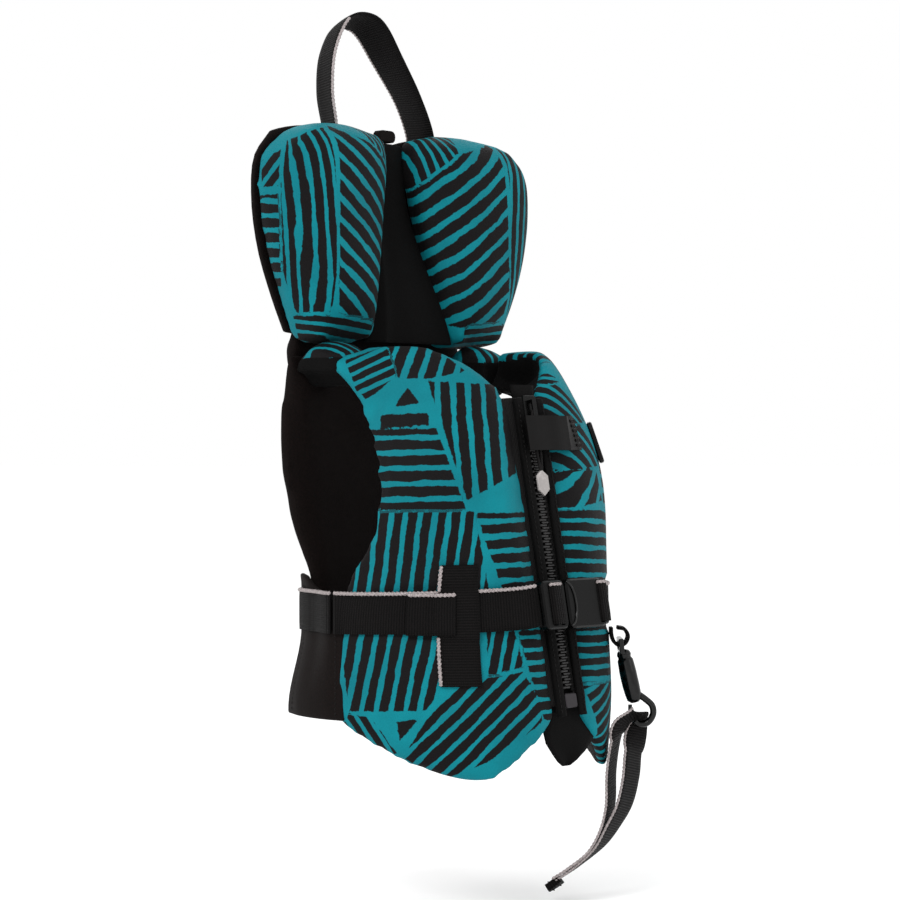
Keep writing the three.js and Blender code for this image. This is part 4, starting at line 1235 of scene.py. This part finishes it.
KEEP_LIFT = lambda u, z: 1.9 + WEB_T / 2 + 1.6 * smooth((16.5 - abs(z - 3)) / 3)
OVERLAP_LIFT = lambda u, z: 2.75 + WEB_T / 2 + 2.3 * smooth((0.605 - u) / 0.03)
LOW, HIGH = 2.6 - WEB / 2, 2.6 + WEB / 2  # the belt's edges where the keeper crosses it
panel_strip("belt_keeper_webbing", 0.4, 0.57, -41, 33, KEEP_LIFT, 40, 6, "belt_keeper", True)
for name, z0, z1 in (("low", -40.6, LOW - 1), ("high", HIGH + 1.6, 32.6)):
    line = [FRONT["right"].lay(0.57, z, KEEP_LIFT(0.57, z) + 0.3)[0] for z in np.linspace(z0, z1, 14)]
    reflective(f"belt_keeper_edge_{name}", line, "front_right")
top = panel_strip("belt_overlap_webbing", 0.5, 0.7, LOW, HIGH, OVERLAP_LIFT, 24, 6, "belt_overlap", False)
reflective("belt_overlap_webbing_edge", top, "front_right")

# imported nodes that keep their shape
KEPT = {
    "collar_top_binding": ("neoprene", 1.2),
    "zip_bottom_box": ("box_metal", 0.35), "zip_slider": ("plastic", 0.25),
    "chest_tab": ("smooth", 0.3), "buckle_female": ("plastic", 0.8), "buckle_male": ("plastic", 0.7),
    "buckle_prongs": ("plastic", 0.5), "lash_tab": ("plastic", 0.5), "hook_swivel_eye": ("hook_metal", 0.4),
    "hook_gate": ("hook_metal", 0.2),
}
for name, (mat, width) in KEPT.items():
    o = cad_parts[name]
    if not o.material_slots:
        o.data.materials.append(MAT[mat])
    for slot in o.material_slots:
        slot.material = MAT[mat]
    bevel(o, width)


# ---------------------------------------------------------------- floor, light, camera
def floor_material():
    k = Nodes("pale_floor", Roughness=0.9, Specular_IOR_Level=0.0, Emission_Strength=0.1)
    k.bsdf.inputs["Emission Color"].default_value = (1, 1, 1, 1)
    t = k.noise(3.0, 2.0)
    return k.finish(k.mix(k.step(t, 0.3, 0.7), (0.9, 0.9, 0.9, 1), (0.93, 0.93, 0.93, 1)))


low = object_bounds()[0][2]
floor = make("floor", [(x, y, low - 0.006) for x, y in ((-60, -60), (60, -60), (60, 60), (-60, 60))],
             [[0, 1, 2, 3]], floor_material(), mm=False)

world = bpy.data.worlds.new("studio")
scene.world = world
world.use_nodes = True
sky = world.node_tree.nodes["Background"]
sky.inputs[0].default_value = (1, 1, 1, 1)
sky.inputs[1].default_value = 1.0
scene.view_settings.view_transform = "Standard"


def lamp(name, place, size, power):
    d = bpy.data.lights.new(name, "AREA")
    d.energy, d.size, d.shape = power, size, "SQUARE"
    o = bpy.data.objects.new(name, d)
    scene.collection.objects.link(o)
    o.location = place
    o.rotation_euler = (Vector((0, 0, 0.08)) - Vector(place)).to_track_quat("-Z", "Y").to_euler()


lamp("key", (-1.9, -0.6, 1.5), 0.7, 26)
lamp("fill", (0.4, -2.2, 0.9), 1.2, 5)
lamp("rim", (1.6, 1.4, 1.6), 0.8, 8)

DISTANCE, AIM_HEIGHT, AIM_RIGHT = 1.8, 0.103, -0.0039  # metres
cam_data = bpy.data.cameras.new("camera")
cam_data.lens, cam_data.sensor_width = 112, 36
cam = bpy.data.objects.new("camera", cam_data)
scene.collection.objects.link(cam)
scene.camera = cam
azimuth = math.radians(-48)
back_dir = Vector((math.sin(azimuth), -math.cos(azimuth), 0))
right_dir = Vector((math.cos(azimuth), math.sin(azimuth), 0))
cam.location = back_dir * DISTANCE + right_dir * AIM_RIGHT + Vector((0, 0, AIM_HEIGHT))
cam.rotation_mode = "QUATERNION"
cam.rotation_quaternion = (-back_dir).to_track_quat("-Z", "Y")
cam_data.clip_start, cam_data.clip_end = 0.01, 50
